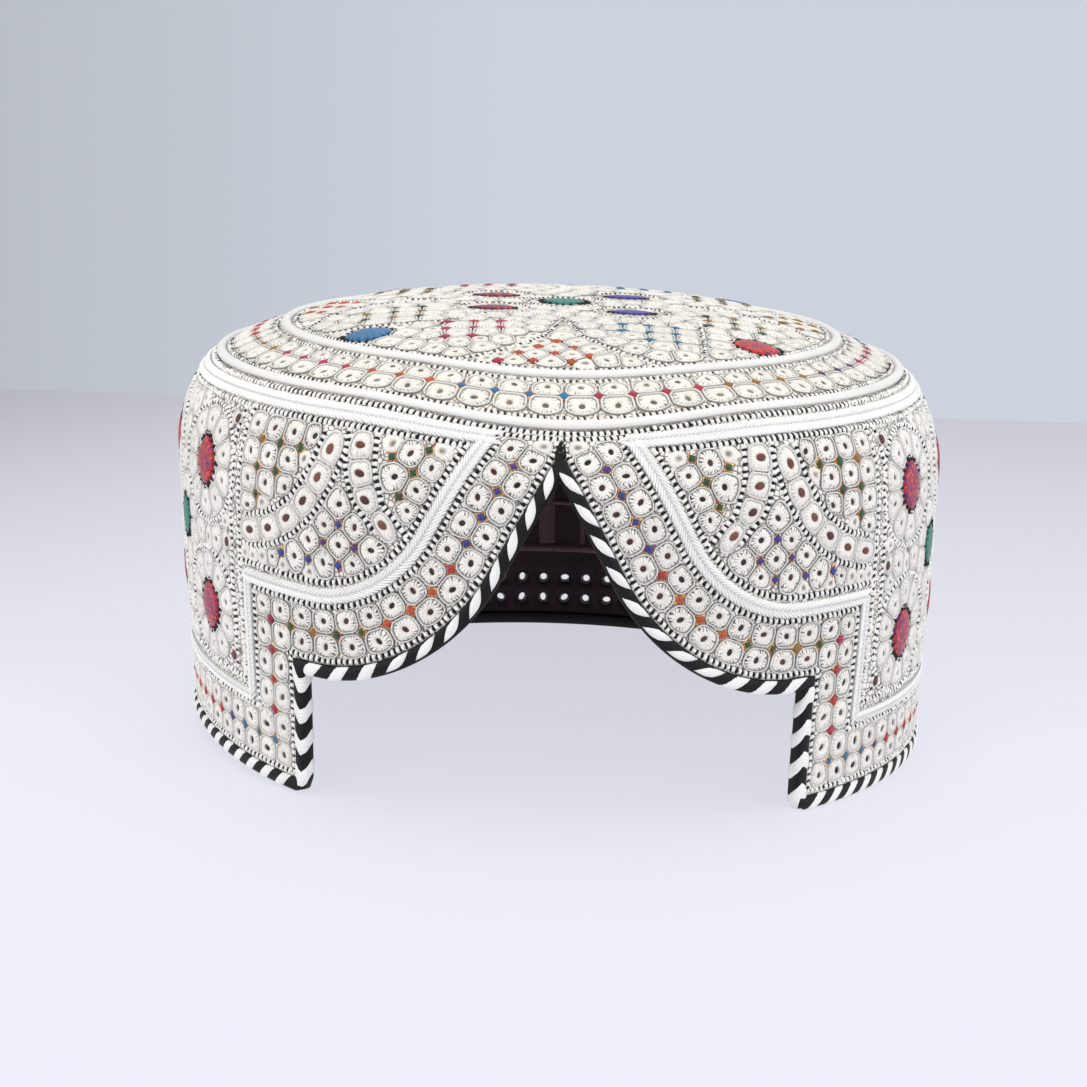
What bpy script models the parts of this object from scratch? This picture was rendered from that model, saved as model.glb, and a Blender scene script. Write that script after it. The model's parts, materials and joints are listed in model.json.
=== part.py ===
# Sindhi cap: a round embroidered cap with a low domed crown, a tall side wall and a wide pointed arch cut
# out of the front between two stepped flaps. It rests on its rim, and its front faces -Y.
#
# Every cloth piece is laid out flat, as on a tailor's pattern, and then wrapped round the cap. On the
# pattern u runs round the cap from the middle of the front, s runs up from the rim and over the crown
# along the surface, and h stands off the outer face of the cloth. All lengths are metres.

from math import cos, pi, radians, sin, sqrt, tan

import bmesh
import bpy
import numpy as np

# The outer face of the cap
WIDEST_RADIUS = 0.0942
WIDEST_HEIGHT = 0.0600
RIM_RADIUS = 0.0922
SEAM_RADIUS = 0.0848
SEAM_HEIGHT = 0.0926
CROWN_RISE = 0.0135
TURN_IN_POWER = 3.5
DOME_POWER = 3.5

# The cut-out at the front: a pointed arch that ends in a flat shoulder on each side
ARCH_APEX = 0.0808
SHOULDER_HEIGHT = 0.0292
ARCH_HALF_WIDTH = 0.0612
SHOULDER_FLAT = 0.0030
ARCH_SLOPE = radians(63.0)
FLAP_CORNER_RADIUS = 0.0036

# Cloth
WALL_THICKNESS = 0.0010
LINING_THICKNESS = 0.0006
CLEARANCE = 0.0003

# The striped binding folded over the free edge
BINDING_WIDTH = 0.0034
BINDING_THICKNESS = 0.0006
FOLD_CLEARANCE = 0.0005

# Raised satin braids and rings: how far each starts from the free edge, or from the crown seam down the
# wall or up the crown, how wide it is and how far it stands up
BRAID_RISE = 0.0010
ARCH_BRAID_INSET = 0.0179
ARCH_BRAID_WIDTH = 0.0034
RIM_BRAID_WIDTH = 0.0026
WALL_TOP_BRAID_BELOW_SEAM = 0.0059
WALL_TOP_BRAID_WIDTH = 0.0038
CROWN_EDGE_RING_ABOVE_SEAM = 0.0003
CROWN_EDGE_RING_WIDTH = 0.0024
CROWN_INNER_RING_ABOVE_SEAM = 0.0171
CROWN_INNER_RING_WIDTH = 0.0025

# How strongly a sag of the crown seam is kept to the top of the wall, and to the edge of the crown
SAG_POWER = 6
SAG_FADE = 4

# How finely the pattern is divided
SIDE_COLUMNS = 20
RING_COLUMNS = 60
FLAP_ROWS = 3
UPPER_ROWS = 5
CROWN_ROWS = 5
ROW_SPREAD = 1.5
ARCH_LINE_STEPS = 7
ARCH_CURVE_STEPS = 8
SHOULDER_STEPS = 4
FLAP_STEPS = 3
CORNER_STEPS = 4
MERIDIAN_STEPS = 400
WELD_DISTANCE = 0.00002

# Where the soft cloth has settled. Each row holds the angle from the front, how far round it reaches, and
# how far it moves the rim and the crown seam up and outwards, as shares of the seam's height and radius.
SETTLING = (
    {"angle": -85, "reach": 58, "rim_up": 0.042, "seam_up": 0.000, "rim_out": 0.000, "seam_out": 0.000},
    {"angle": -85, "reach": 75, "rim_up": 0.000, "seam_up": 0.000, "rim_out": -0.025, "seam_out": 0.010},
    {"angle": 85, "reach": 75, "rim_up": 0.000, "seam_up": 0.000, "rim_out": 0.004, "seam_out": -0.004},
    {"angle": 0, "reach": 34, "rim_up": 0.000, "seam_up": -0.040, "rim_out": 0.000, "seam_out": 0.000},
)

COLOURS = {
    "white_embroidery": (0.86, 0.85, 0.81, 0.75, 0.0),
    "satin_braid": (0.90, 0.90, 0.89, 0.45, 0.0),
    "striped_binding": (0.12, 0.12, 0.13, 0.60, 0.0),
    "dark_lining": (0.035, 0.022, 0.028, 0.80, 0.0),
}


def wall_radius(z):
    """Outer radius of the side wall at height z."""
    if z < WIDEST_HEIGHT:
        share = z / WIDEST_HEIGHT
        return RIM_RADIUS + (WIDEST_RADIUS - RIM_RADIUS) * share * share * (3 - 2 * share)
    share = (z - WIDEST_HEIGHT) / (SEAM_HEIGHT - WIDEST_HEIGHT)
    return WIDEST_RADIUS - (WIDEST_RADIUS - SEAM_RADIUS) * share**TURN_IN_POWER


def crown_height(r):
    """Height of the crown's outer face at radius r."""
    return SEAM_HEIGHT + CROWN_RISE * (1 - (r / SEAM_RADIUS) ** DOME_POWER)


def make_meridian():
    """Points of the outer section from the rim to the top of the crown, and their distance along it."""
    heights = np.linspace(0, SEAM_HEIGHT, MERIDIAN_STEPS)
    radii = np.linspace(SEAM_RADIUS, 0, MERIDIAN_STEPS)[1:]
    wall = [(wall_radius(z), z) for z in heights]
    crown = [(r, crown_height(r)) for r in radii]
    points = np.array(wall + crown)
    steps = np.hypot(*np.diff(points, axis=0).T)
    return points, np.concatenate([[0], np.cumsum(steps)])


MERIDIAN, DISTANCE = make_meridian()
SEAM = DISTANCE[MERIDIAN_STEPS - 1]
APEX_OF_CROWN = DISTANCE[-1]
PATTERN_RADIUS = WIDEST_RADIUS
BACK = pi * PATTERN_RADIUS
STACK = WALL_THICKNESS + CLEARANCE + LINING_THICKNESS
WALL_TOP_BRAID_START = SEAM - WALL_TOP_BRAID_BELOW_SEAM
CROWN_EDGE_RING_START = SEAM + CROWN_EDGE_RING_ABOVE_SEAM
CROWN_INNER_RING_START = SEAM + CROWN_INNER_RING_ABOVE_SEAM


def settle(angle, s):
    """How far the soft cloth has moved outwards and upwards at this place."""
    along = min(s / SEAM, 1)
    fade = 1 if s < SEAM else (APEX_OF_CROWN - s) / (APEX_OF_CROWN - SEAM)
    outwards, upwards = 0, 0
    for row in SETTLING:
        away = abs((angle - radians(row["angle"]) + pi) % (2 * pi) - pi) / radians(row["reach"])
        if away < 1:
            weight = cos(away * pi / 2) ** 2
            rise = row["rim_up"] * (1 - along) + row["seam_up"] * along**SAG_POWER * fade**SAG_FADE
            spread = row["rim_out"] * (1 - along) + row["seam_out"] * along * fade
            upwards += SEAM_HEIGHT * weight * rise
            outwards += SEAM_RADIUS * weight * spread
    return outwards, upwards


def wrap(u, s, h):
    """The place on the cap of a point of the flat pattern."""
    angle = u / PATTERN_RADIUS
    r, z = (np.interp(s, DISTANCE, MERIDIAN[:, axis]) for axis in (0, 1))
    step = 0.0025
    ahead, behind = min(s + step, APEX_OF_CROWN), max(s - step, 0)
    run, rise = (
        np.interp(ahead, DISTANCE, MERIDIAN[:, axis]) - np.interp(behind, DISTANCE, MERIDIAN[:, axis])
        for axis in (0, 1)
    )
    if s >= APEX_OF_CROWN:
        run, rise = -1, 0
    if s <= 0:
        run, rise = 0, 1
    length = sqrt(run * run + rise * rise)
    outwards, upwards = settle(angle, s)
    out = r + h * rise / length + outwards
    return (out * sin(angle), -out * cos(angle), z - h * run / length + upwards)


def arch_tangent():
    """The arch's curve: the place of its centre, and its radius."""
    along = ARCH_HALF_WIDTH - SHOULDER_FLAT
    reach = along - (ARCH_APEX - SHOULDER_HEIGHT) / tan(ARCH_SLOPE)
    radius = reach / tan(ARCH_SLOPE / 2)
    return along, SHOULDER_HEIGHT + radius, radius


def edge_run(inset, top):
    """Right half of the free edge moved into the cloth by inset, from the arch at height top to the back.

    Every inset gives the same number of points, so that the points of one rank mark a mitred section.
    """
    centre_u, centre_s, radius = arch_tangent()
    near = radius - inset
    touch = (centre_u - near * sin(ARCH_SLOPE), centre_s - near * cos(ARCH_SLOPE))
    start = max((ARCH_APEX + inset / cos(ARCH_SLOPE) - top) / tan(ARCH_SLOPE), 0)
    first = (start, ARCH_APEX + inset / cos(ARCH_SLOPE) - start * tan(ARCH_SLOPE))
    points = []
    for i in range(ARCH_LINE_STEPS):
        share = i / ARCH_LINE_STEPS
        points.append((first[0] + (touch[0] - first[0]) * share, first[1] + (touch[1] - first[1]) * share))
    for i in range(ARCH_CURVE_STEPS + 1):
        turn = ARCH_SLOPE * (1 - i / ARCH_CURVE_STEPS)
        points.append((centre_u - near * sin(turn), centre_s - near * cos(turn)))
    flap_u = ARCH_HALF_WIDTH + inset
    round_off = max(FLAP_CORNER_RADIUS - inset, 0)
    shoulder_s, foot_s = SHOULDER_HEIGHT + inset, inset + round_off
    points += [
        (flap_u, shoulder_s + (foot_s - shoulder_s) * i / FLAP_STEPS) for i in range(FLAP_STEPS)
    ]
    for i in range(CORNER_STEPS + 1):
        turn = pi / 2 * i / CORNER_STEPS
        points.append((flap_u + round_off * (1 - cos(turn)), foot_s - round_off * sin(turn)))
    rim_start = points[-1][0]
    points += [
        (rim_start + (BACK - rim_start) * i / SIDE_COLUMNS, inset) for i in range(1, SIDE_COLUMNS + 1)
    ]
    return points


def clear_scene():
    for old in list(bpy.data.objects):
        bpy.data.objects.remove(old)


def make_material(name):
    red, green, blue, roughness, metallic = COLOURS[name]
    material = bpy.data.materials.new(name)
    material.use_nodes = True
    shader = material.node_tree.nodes["Principled BSDF"]
    shader.inputs["Base Color"].default_value = (red, green, blue, 1)
    shader.inputs["Roughness"].default_value = roughness
    shader.inputs["Metallic"].default_value = metallic
    material.diffuse_color = (red, green, blue, 1)
    return material


def grid_mesh(columns, rows):
    """A unit grid, and for each of its vertices the column and the row that it stands in."""
    mesh = bmesh.new()
    bmesh.ops.create_grid(mesh, x_segments=columns, y_segments=rows, size=0.5)
    places = {v: (round((v.co.x + 0.5) * columns), round((v.co.y + 0.5) * rows)) for v in mesh.verts}
    return mesh, places


def finish_piece(name, mesh, material, collection):
    """Welds the wrapped mesh at its seams, turns its faces outwards and makes it an object."""
    bmesh.ops.remove_doubles(mesh, verts=mesh.verts, dist=WELD_DISTANCE)
    bmesh.ops.dissolve_degenerate(mesh, edges=mesh.edges, dist=WELD_DISTANCE)
    bmesh.ops.recalc_face_normals(mesh, faces=mesh.faces)
    data = bpy.data.meshes.new(name)
    mesh.to_mesh(data)
    mesh.free()
    piece = bpy.data.objects.new(name, data)
    collection.objects.link(piece)
    piece.data.materials.append(material)
    piece.data.shade_smooth()
    piece.data.set_sharp_from_angle(angle=radians(40))
    return piece


def thick_sheet(name, mesh, outer, thickness, material, collection):
    """Gives a flat sheet its thickness and wraps it. The back seam closes it into a ring."""
    made = bmesh.ops.extrude_face_region(mesh, geom=list(mesh.faces), use_keep_orig=True)
    for v in made["geom"]:
        if isinstance(v, bmesh.types.BMVert):
            v.co.z -= thickness
    ends = [f for f in mesh.faces if all(abs(abs(v.co.x) - BACK) < WELD_DISTANCE for v in f.verts)]
    bmesh.ops.delete(mesh, geom=ends, context="FACES")
    for v in mesh.verts:
        v.co = wrap(v.co.x, v.co.y, outer + v.co.z)
    return finish_piece(name, mesh, material, collection)


def make_wall(name, outer, thickness, top, material, collection):
    """A side layer of the cap: a flat sheet with the arch and the flaps cut out of its lower edge."""
    inset = BINDING_THICKNESS + FOLD_CLEARANCE
    arch = edge_run(inset, ARCH_APEX * 2)[: ARCH_LINE_STEPS + ARCH_CURVE_STEPS + 2]
    flap_u, shoulder = arch[-1]
    side = [(u, shoulder) for u in np.linspace(flap_u, BACK, SIDE_COLUMNS + 1)[1:]]
    columns = mirror_run(arch + side)
    flap_rows = np.linspace(inset, shoulder, FLAP_ROWS + 1)
    middle = len(columns) // 2
    mesh, places = grid_mesh(len(columns) - 1, FLAP_ROWS + UPPER_ROWS)
    for v, (column, row) in places.items():
        u, lowest = columns[column]
        share = 1 - (1 - max(row - FLAP_ROWS, 0) / UPPER_ROWS) ** ROW_SPREAD
        v.co = (u, lowest + (top - lowest) * share if row > FLAP_ROWS - 1 else flap_rows[row], 0)
    cut = []
    for face in mesh.faces:
        over_arch = all(abs(places[v][0] - middle) < len(arch) for v in face.verts)
        if over_arch and min(places[v][1] for v in face.verts) < FLAP_ROWS:
            cut.append(face)
    bmesh.ops.delete(mesh, geom=cut, context="FACES")
    pull = (FLAP_CORNER_RADIUS - inset) * (1 - cos(pi / 4))
    for v in mesh.verts:
        if abs(abs(v.co.x) - flap_u) < WELD_DISTANCE and abs(v.co.y - inset) < WELD_DISTANCE:
            v.co.x += pull if v.co.x > 0 else -pull
            v.co.y += pull
    return thick_sheet(name, mesh, outer, thickness, material, collection)


def make_crown(name, outer, thickness, material, collection):
    """A crown layer: a shallow dome whose edge stands against the top of the side layer."""
    start = SEAM + CLEARANCE
    mesh, places = grid_mesh(RING_COLUMNS, CROWN_ROWS)
    for v, (column, row) in places.items():
        u = BACK * (2 * column / RING_COLUMNS - 1)
        s = start + (APEX_OF_CROWN - start) * (row / CROWN_ROWS) ** ROW_SPREAD
        v.co = (u, s, 0)
    return thick_sheet(name, mesh, outer, thickness, material, collection)


def sweep(name, sections, closed, material, collection):
    """A band through a run of sections, each a list of (u, s, h) points. Its ends are closed or meet."""
    along, around = len(sections) - 1, len(sections[0])
    mesh, places = grid_mesh(along, around)
    for v, (column, row) in places.items():
        v.co = wrap(*sections[column][row % around])
    if not closed:
        bmesh.ops.remove_doubles(mesh, verts=mesh.verts, dist=WELD_DISTANCE)
        bmesh.ops.holes_fill(mesh, edges=[e for e in mesh.edges if e.is_boundary], sides=0)
    return finish_piece(name, mesh, material, collection)


def braid_section(start, width):
    """The five points of a braid's section: a flat foot and a rounded back. Each is (distance, height)."""
    foot = CLEARANCE
    return [
        (start, foot),
        (start + width, foot),
        (start + width * 0.92, foot + BRAID_RISE * 0.60),
        (start + width * 0.50, foot + BRAID_RISE),
        (start + width * 0.08, foot + BRAID_RISE * 0.60),
    ]


def mirror_run(points):
    """The left half of a run before its right half. The two share the point at u 0 if they have one."""
    left = [(-u, s) for u, s in reversed(points)]
    return left[:-1] + points if abs(points[0][0]) < WELD_DISTANCE else left + points


def make_binding(material, collection):
    """The striped strip folded over the free edge of the wall and the lining, all the way round."""
    tip = BINDING_WIDTH
    outside, inside = CLEARANCE, -STACK - CLEARANCE
    fold = BINDING_THICKNESS
    round_off = fold * 0.9
    section = [
        (tip, outside),
        (tip - round_off / 3, outside + fold * 0.8),
        (tip / 2, outside + fold),
        (round_off, outside + fold),
        (0, outside),
        (0, inside),
        (round_off, inside - fold),
        (tip - round_off / 3, inside - fold * 0.8),
        (tip, inside),
        (fold, inside),
        (fold, outside),
        (tip / 2, outside),
    ]
    runs = [mirror_run(edge_run(inset, ARCH_APEX * 2)) for inset, _ in section]
    sections = [
        [(*runs[k][i], section[k][1]) for k in range(len(section))] for i in range(len(runs[0]))
    ]
    return sweep("edge_binding", sections, True, material, collection)


def make_ring(name, start, width, material, collection):
    """A satin ring that goes right round the cap at one height of the pattern."""
    sections = [
        [(BACK * (2 * i / RING_COLUMNS - 1), s, h) for s, h in braid_section(start, width)]
        for i in range(RING_COLUMNS + 1)
    ]
    return sweep(name, sections, True, material, collection)


def make_arch_braid(name, side, material, collection):
    """The braid that follows one side of the arch, from the top braid down to above the flap's corner."""
    section = braid_section(ARCH_BRAID_INSET, ARCH_BRAID_WIDTH)
    top = WALL_TOP_BRAID_START - CLEARANCE
    count = ARCH_LINE_STEPS + ARCH_CURVE_STEPS + 1
    end = ARCH_HALF_WIDTH + ARCH_BRAID_INSET + ARCH_BRAID_WIDTH
    runs = []
    for inset, _ in section:
        run = edge_run(inset, top)[:count]
        last = run[-1][0]
        shares = [(i + 1) / SHOULDER_STEPS for i in range(SHOULDER_STEPS)]
        run += [(last + (end - last) * share, SHOULDER_HEIGHT + inset) for share in shares]
        runs.append(run)
    sections = [
        [(side * runs[k][i][0], runs[k][i][1], section[k][1]) for k in range(len(section))]
        for i in range(len(runs[0]))
    ]
    return sweep(name, sections, False, material, collection)


def make_rim_braid(material, collection):
    """The narrower braid that drops down each flap from the arch braid and runs round above the rim."""
    section = braid_section(ARCH_BRAID_INSET, RIM_BRAID_WIDTH)
    first = ARCH_LINE_STEPS + ARCH_CURVE_STEPS + 1
    top = SHOULDER_HEIGHT + ARCH_BRAID_INSET - CLEARANCE
    runs = []
    for inset, _ in section:
        run = edge_run(inset, ARCH_APEX)[first:]
        runs.append(mirror_run([(run[0][0], top)] + run[1:]))
    sections = [
        [(*runs[k][i], section[k][1]) for k in range(len(section))] for i in range(len(runs[0]))
    ]
    return sweep_open_front("rim_braid", sections, material, collection)


def sweep_open_front(name, sections, material, collection):
    """A band that is open at the front and runs round the back, so its run starts and ends at the flaps."""
    middle = len(sections) // 2
    right, left = sections[middle:], sections[:middle]
    round_the_back = right + [[(u + 2 * BACK, s, h) for u, s, h in points] for points in left[1:]]
    return sweep(name, round_the_back, False, material, collection)


def build():
    clear_scene()
    collection = bpy.data.collections.new("sindhi_cap")
    bpy.context.scene.collection.children.link(collection)
    paint = {name: make_material(name) for name in COLOURS}
    white, satin, lining = paint["white_embroidery"], paint["satin_braid"], paint["dark_lining"]
    inner = -WALL_THICKNESS - CLEARANCE
    make_wall("side_wall", 0, WALL_THICKNESS, SEAM, white, collection)
    make_wall("side_lining", inner, LINING_THICKNESS, SEAM, lining, collection)
    make_crown("crown_top", 0, WALL_THICKNESS, white, collection)
    make_crown("crown_lining", inner, LINING_THICKNESS, lining, collection)
    make_binding(paint["striped_binding"], collection)
    make_ring("wall_top_braid", WALL_TOP_BRAID_START, WALL_TOP_BRAID_WIDTH, satin, collection)
    make_ring("crown_edge_ring", CROWN_EDGE_RING_START, CROWN_EDGE_RING_WIDTH, satin, collection)
    make_ring("crown_inner_ring", CROWN_INNER_RING_START, CROWN_INNER_RING_WIDTH, satin, collection)
    make_arch_braid("arch_braid_right", 1, satin, collection)
    make_arch_braid("arch_braid_left", -1, satin, collection)
    make_rim_braid(satin, collection)


build()
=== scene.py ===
import json
import math

import bpy
import numpy as np
from mathutils import Matrix, Vector

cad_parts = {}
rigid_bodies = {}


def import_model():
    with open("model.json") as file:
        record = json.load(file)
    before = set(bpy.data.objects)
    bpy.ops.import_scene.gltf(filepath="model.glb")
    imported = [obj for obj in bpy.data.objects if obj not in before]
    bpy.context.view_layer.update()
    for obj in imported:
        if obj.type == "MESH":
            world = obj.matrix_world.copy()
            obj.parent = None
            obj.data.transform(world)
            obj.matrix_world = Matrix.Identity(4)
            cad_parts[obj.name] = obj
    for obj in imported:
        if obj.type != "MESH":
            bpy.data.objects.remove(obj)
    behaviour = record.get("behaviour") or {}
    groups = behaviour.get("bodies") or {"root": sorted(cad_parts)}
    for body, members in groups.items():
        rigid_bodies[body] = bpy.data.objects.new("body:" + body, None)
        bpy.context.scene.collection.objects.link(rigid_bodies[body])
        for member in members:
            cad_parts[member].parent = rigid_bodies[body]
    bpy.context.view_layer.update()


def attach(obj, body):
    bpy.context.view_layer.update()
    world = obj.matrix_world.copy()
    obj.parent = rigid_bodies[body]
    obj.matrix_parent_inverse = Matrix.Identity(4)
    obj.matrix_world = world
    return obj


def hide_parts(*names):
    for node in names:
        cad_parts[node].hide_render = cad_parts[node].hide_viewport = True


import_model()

mm = 0.001
rng = np.random.default_rng(11)
scene = bpy.context.scene


def rgb(red, green, blue):  # a colour as a screen shows it, 0 to 255, turned into the shader's linear values
    shares = np.array([red, green, blue]) / 255
    linear = np.where(shares < 0.04045, shares / 12.92, ((shares + 0.055) / 1.055) ** 2.4)
    return (float(linear[0]), float(linear[1]), float(linear[2]), 1.0)


# ---- the form of the cap: a flat pattern (u round, s up from the rim, h off the cloth) wrapped on it ----

capForm = {
    "widestRadius": 94.2 * mm,
    "widestHeight": 60.0 * mm,
    "rimRadius": 92.2 * mm,
    "seamRadius": 84.8 * mm,
    "seamHeight": 92.6 * mm,
    "crownRise": 13.5 * mm,
    "turnIn": 3.5,
    "dome": 3.5,
    "wall": 1.0 * mm,
    "lining": 0.6 * mm,
    "gap": 0.3 * mm,
    "slopeReach": 2.5 * mm,  # how far up and down the slope of the cloth is read
    # where the soft cloth has settled: angle, reach, then shares of rim up, seam up, rim out, seam out
    "settled": (
        (-85, 58, 0.042, 0.0, 0.0, 0.0),
        (-85, 75, 0.0, 0.0, -0.025, 0.010),
        (85, 75, 0.0, 0.0, 0.004, -0.004),
        (0, 34, 0.0, -0.040, 0.0, 0.0),
    ),
    "sagPower": 6,
    "sagFade": 4,
}


sectionSteps = 400  # points on the wall's half of the section, and on the crown's


def makeSection():
    f = capForm
    z = np.linspace(0, f["seamHeight"], sectionSteps)
    low = z / f["widestHeight"]
    high = np.clip((z - f["widestHeight"]) / (f["seamHeight"] - f["widestHeight"]), 0, 1)
    below = f["rimRadius"] + (f["widestRadius"] - f["rimRadius"]) * low * low * (3 - 2 * low)
    above = f["widestRadius"] - (f["widestRadius"] - f["seamRadius"]) * high ** f["turnIn"]
    r = np.where(z < f["widestHeight"], below, above)
    crownR = np.linspace(f["seamRadius"], 0, sectionSteps)[1:]
    crownZ = f["seamHeight"] + f["crownRise"] * (1 - (crownR / f["seamRadius"]) ** f["dome"])
    r, z = np.concatenate([r, crownR]), np.concatenate([z, crownZ])
    return r, z, np.concatenate([[0], np.cumsum(np.hypot(np.diff(r), np.diff(z)))])


sectionR, sectionZ, sectionS = makeSection()
seamS, topS = sectionS[sectionSteps - 1], sectionS[-1]
patternR = capForm["widestRadius"]
backU = math.pi * patternR
crownCircle = sectionR[sectionSteps - 1 :][::-1], sectionS[sectionSteps - 1 :][::-1]


def deg(angle):  # an angle round the cap as a distance on the pattern
    return math.radians(angle) * patternR


def wrapPoints(u, s, h):
    u, s, h = np.broadcast_arrays(np.asarray(u, float), np.asarray(s, float), np.asarray(h, float))
    angle = u / patternR
    r, z = np.interp(s, sectionS, sectionR), np.interp(s, sectionS, sectionZ)
    ahead = np.minimum(s + capForm["slopeReach"], topS)
    behind = np.maximum(np.minimum(s, topS) - capForm["slopeReach"], 0)
    run = np.interp(ahead, sectionS, sectionR) - np.interp(behind, sectionS, sectionR)
    rise = np.interp(ahead, sectionS, sectionZ) - np.interp(behind, sectionS, sectionZ)
    run, rise = np.where(s <= 0, 0, run), np.where(s <= 0, 1, rise)
    length = np.hypot(run, rise)
    along = np.minimum(s / seamS, 1)
    fade = np.clip((topS - s) / (topS - seamS), 0, 1)
    sag = along ** capForm["sagPower"] * fade ** capForm["sagFade"]
    out, up = 0, 0
    for centre, reach, rimUp, seamUp, rimOut, seamOut in capForm["settled"]:
        away = np.abs((angle - math.radians(centre) + math.pi) % (2 * math.pi) - math.pi) / math.radians(reach)
        weight = np.where(away < 1, np.cos(np.minimum(away, 1) * math.pi / 2) ** 2, 0)
        up = up + capForm["seamHeight"] * weight * (rimUp * (1 - along) + seamUp * sag)
        out = out + capForm["seamRadius"] * weight * (rimOut * (1 - along) + seamOut * along * fade)
    r = r + h * rise / length + out
    return np.stack([r * np.sin(angle), -r * np.cos(angle), z - h * run / length + up], axis=-1)


def wrapPlan(x, y, h):  # the same for the crown, from a place seen straight from above
    r = np.hypot(x, y)
    return wrapPoints(np.arctan2(x, -y) * patternR, np.interp(r, *crownCircle), h)


def ringS(r):  # the pattern's s of a crown circle of radius r
    return float(np.interp(r, *crownCircle))


# ---- the free edge: arch, shoulder, flap and rim, and lines at any inset into the cloth ----

archForm = {
    "apex": 80.8 * mm,
    "shoulder": 29.2 * mm,
    "halfWidth": 61.2 * mm,
    "flat": 3.0 * mm,
    "slope": math.radians(63),
    "corner": 3.6 * mm,
}
edgeSteps = {"line": 60, "curve": 81, "shoulder": 8, "flap": 60, "corner": 12, "rim": 400}
shoulderIndex = edgeSteps["line"] + edgeSteps["curve"] - 1
flapIndex = shoulderIndex + edgeSteps["shoulder"]
footIndex = flapIndex + edgeSteps["flap"] + edgeSteps["corner"]


def edgeLine(inset):
    a, n = archForm, edgeSteps
    centreU = a["halfWidth"] - a["flat"]
    radius = (centreU - (a["apex"] - a["shoulder"]) / math.tan(a["slope"])) / math.tan(a["slope"] / 2)
    centreS, near = a["shoulder"] + radius, radius - inset
    turn = a["slope"] * (1 - np.linspace(0, 1, n["curve"]))
    curve = np.stack([centreU - near * np.sin(turn), centreS - near * np.cos(turn)], 1)
    start = np.array([0, a["apex"] + inset / math.cos(a["slope"])])
    line = start + (curve[0] - start) * np.linspace(0, 1, n["line"] + 1)[:-1, None]
    flapU, rounding = a["halfWidth"] + inset, max(a["corner"] - inset, 0)
    shoulder, foot = a["shoulder"] + inset, inset + rounding
    flat = np.linspace(curve[-1, 0], flapU, n["shoulder"] + 1)[1:]
    flat = np.stack([flat, np.full(n["shoulder"], shoulder)], 1)
    flap = np.stack([np.full(n["flap"], flapU), np.linspace(shoulder, foot, n["flap"] + 1)[1:]], 1)
    bend = math.pi / 2 * np.linspace(0, 1, n["corner"] + 1)[1:]
    corner = np.stack([flapU + rounding * (1 - np.cos(bend)), foot - rounding * np.sin(bend)], 1)
    rim = np.stack([np.linspace(corner[-1, 0], backU, n["rim"] + 1)[1:], np.full(n["rim"], inset)], 1)
    return np.concatenate([line, curve, flat, flap, corner, rim])


def bothHalves(half):
    return np.concatenate([half[::-1] * np.array([-1, 1]), half[1:]])


def lengthAlong(points):
    return np.concatenate([[0], np.cumsum(np.hypot(*np.diff(points, axis=0).T))])


guideInset = 10.8 * mm
guide = edgeLine(guideInset)
guideLength = lengthAlong(guide)


def edgeAt(t, inset):  # places at distance t along the guide line, moved square to it to another inset
    place = np.interp(t, guideLength, np.arange(len(guide)))
    line, step = edgeLine(inset), inset - guideInset
    found, on = ([np.interp(place, np.arange(len(row)), row[:, k]) for k in (0, 1)] for row in (line, guide))
    slope = archForm["slope"]
    if place < edgeSteps["line"]:  # the straight side of the arch
        return np.array([on[0] + step * math.sin(slope), on[1] + step * math.cos(slope)])
    if place < shoulderIndex:  # the curve
        return np.array(found)
    if shoulderIndex <= place <= flapIndex or place >= footIndex:  # the shoulder and the rim
        return np.array([on[0], on[1] + step])
    return np.array([on[0] + step, on[1]])  # the flap


def resample(points, pitch, closed=False):
    points = np.asarray(points, float)
    if closed:
        points = np.concatenate([points, points[:1]])
    length = lengthAlong(points)
    count = max(int(round(length[-1] / pitch)), 1)
    t = np.linspace(0, length[-1], count + 1)
    t = t[:-1] if closed else t
    found = np.stack([np.interp(t, length, points[:, k]) for k in (0, 1)], -1)
    step = min(0.3 * mm, length[-1] / 4)
    ahead = np.stack([np.interp(np.minimum(t + step, length[-1]), length, points[:, k]) for k in (0, 1)], -1)
    behind = np.stack([np.interp(np.maximum(t - step, 0), length, points[:, k]) for k in (0, 1)], -1)
    way = ahead - behind
    return found, np.arctan2(way[:, 1], way[:, 0])


def circleLine(u, s, radius, start=0, end=360):
    a = np.radians(np.linspace(start, end, max(int(abs(end - start) / 4), 4) + 1))
    return np.stack([u + radius * np.cos(a), s + radius * np.sin(a)], 1)


# ---- mesh helpers ----


def clearSelection():
    if bpy.context.mode != "OBJECT":
        bpy.ops.object.mode_set(mode="OBJECT")
    bpy.ops.object.select_all(action="DESELECT")


def turnedUnit(rings, divisions, close=True):  # a small turned form, grown ring by ring from its foot inwards
    clearSelection()
    start, low = rings[0]
    bpy.ops.mesh.primitive_circle_add(vertices=divisions, radius=start * mm, location=(0, 0, low * mm))
    bpy.ops.object.transform_apply(location=True, rotation=False, scale=False)
    bpy.ops.object.mode_set(mode="EDIT")
    bpy.ops.mesh.select_all(action="SELECT")
    for (r0, h0), (r1, h1) in zip(rings, rings[1:]):
        bpy.ops.mesh.extrude_edges_move(TRANSFORM_OT_translate={"value": (0, 0, (h1 - h0) * mm)})
        bpy.ops.transform.resize(value=(r1 / r0, r1 / r0, 1), center_override=(0, 0, 0))
    if close:
        bpy.ops.mesh.edge_face_add()
    bpy.ops.mesh.select_all(action="SELECT")
    bpy.ops.mesh.normals_make_consistent(inside=False)
    bpy.ops.object.mode_set(mode="OBJECT")
    return bpy.context.object


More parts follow.
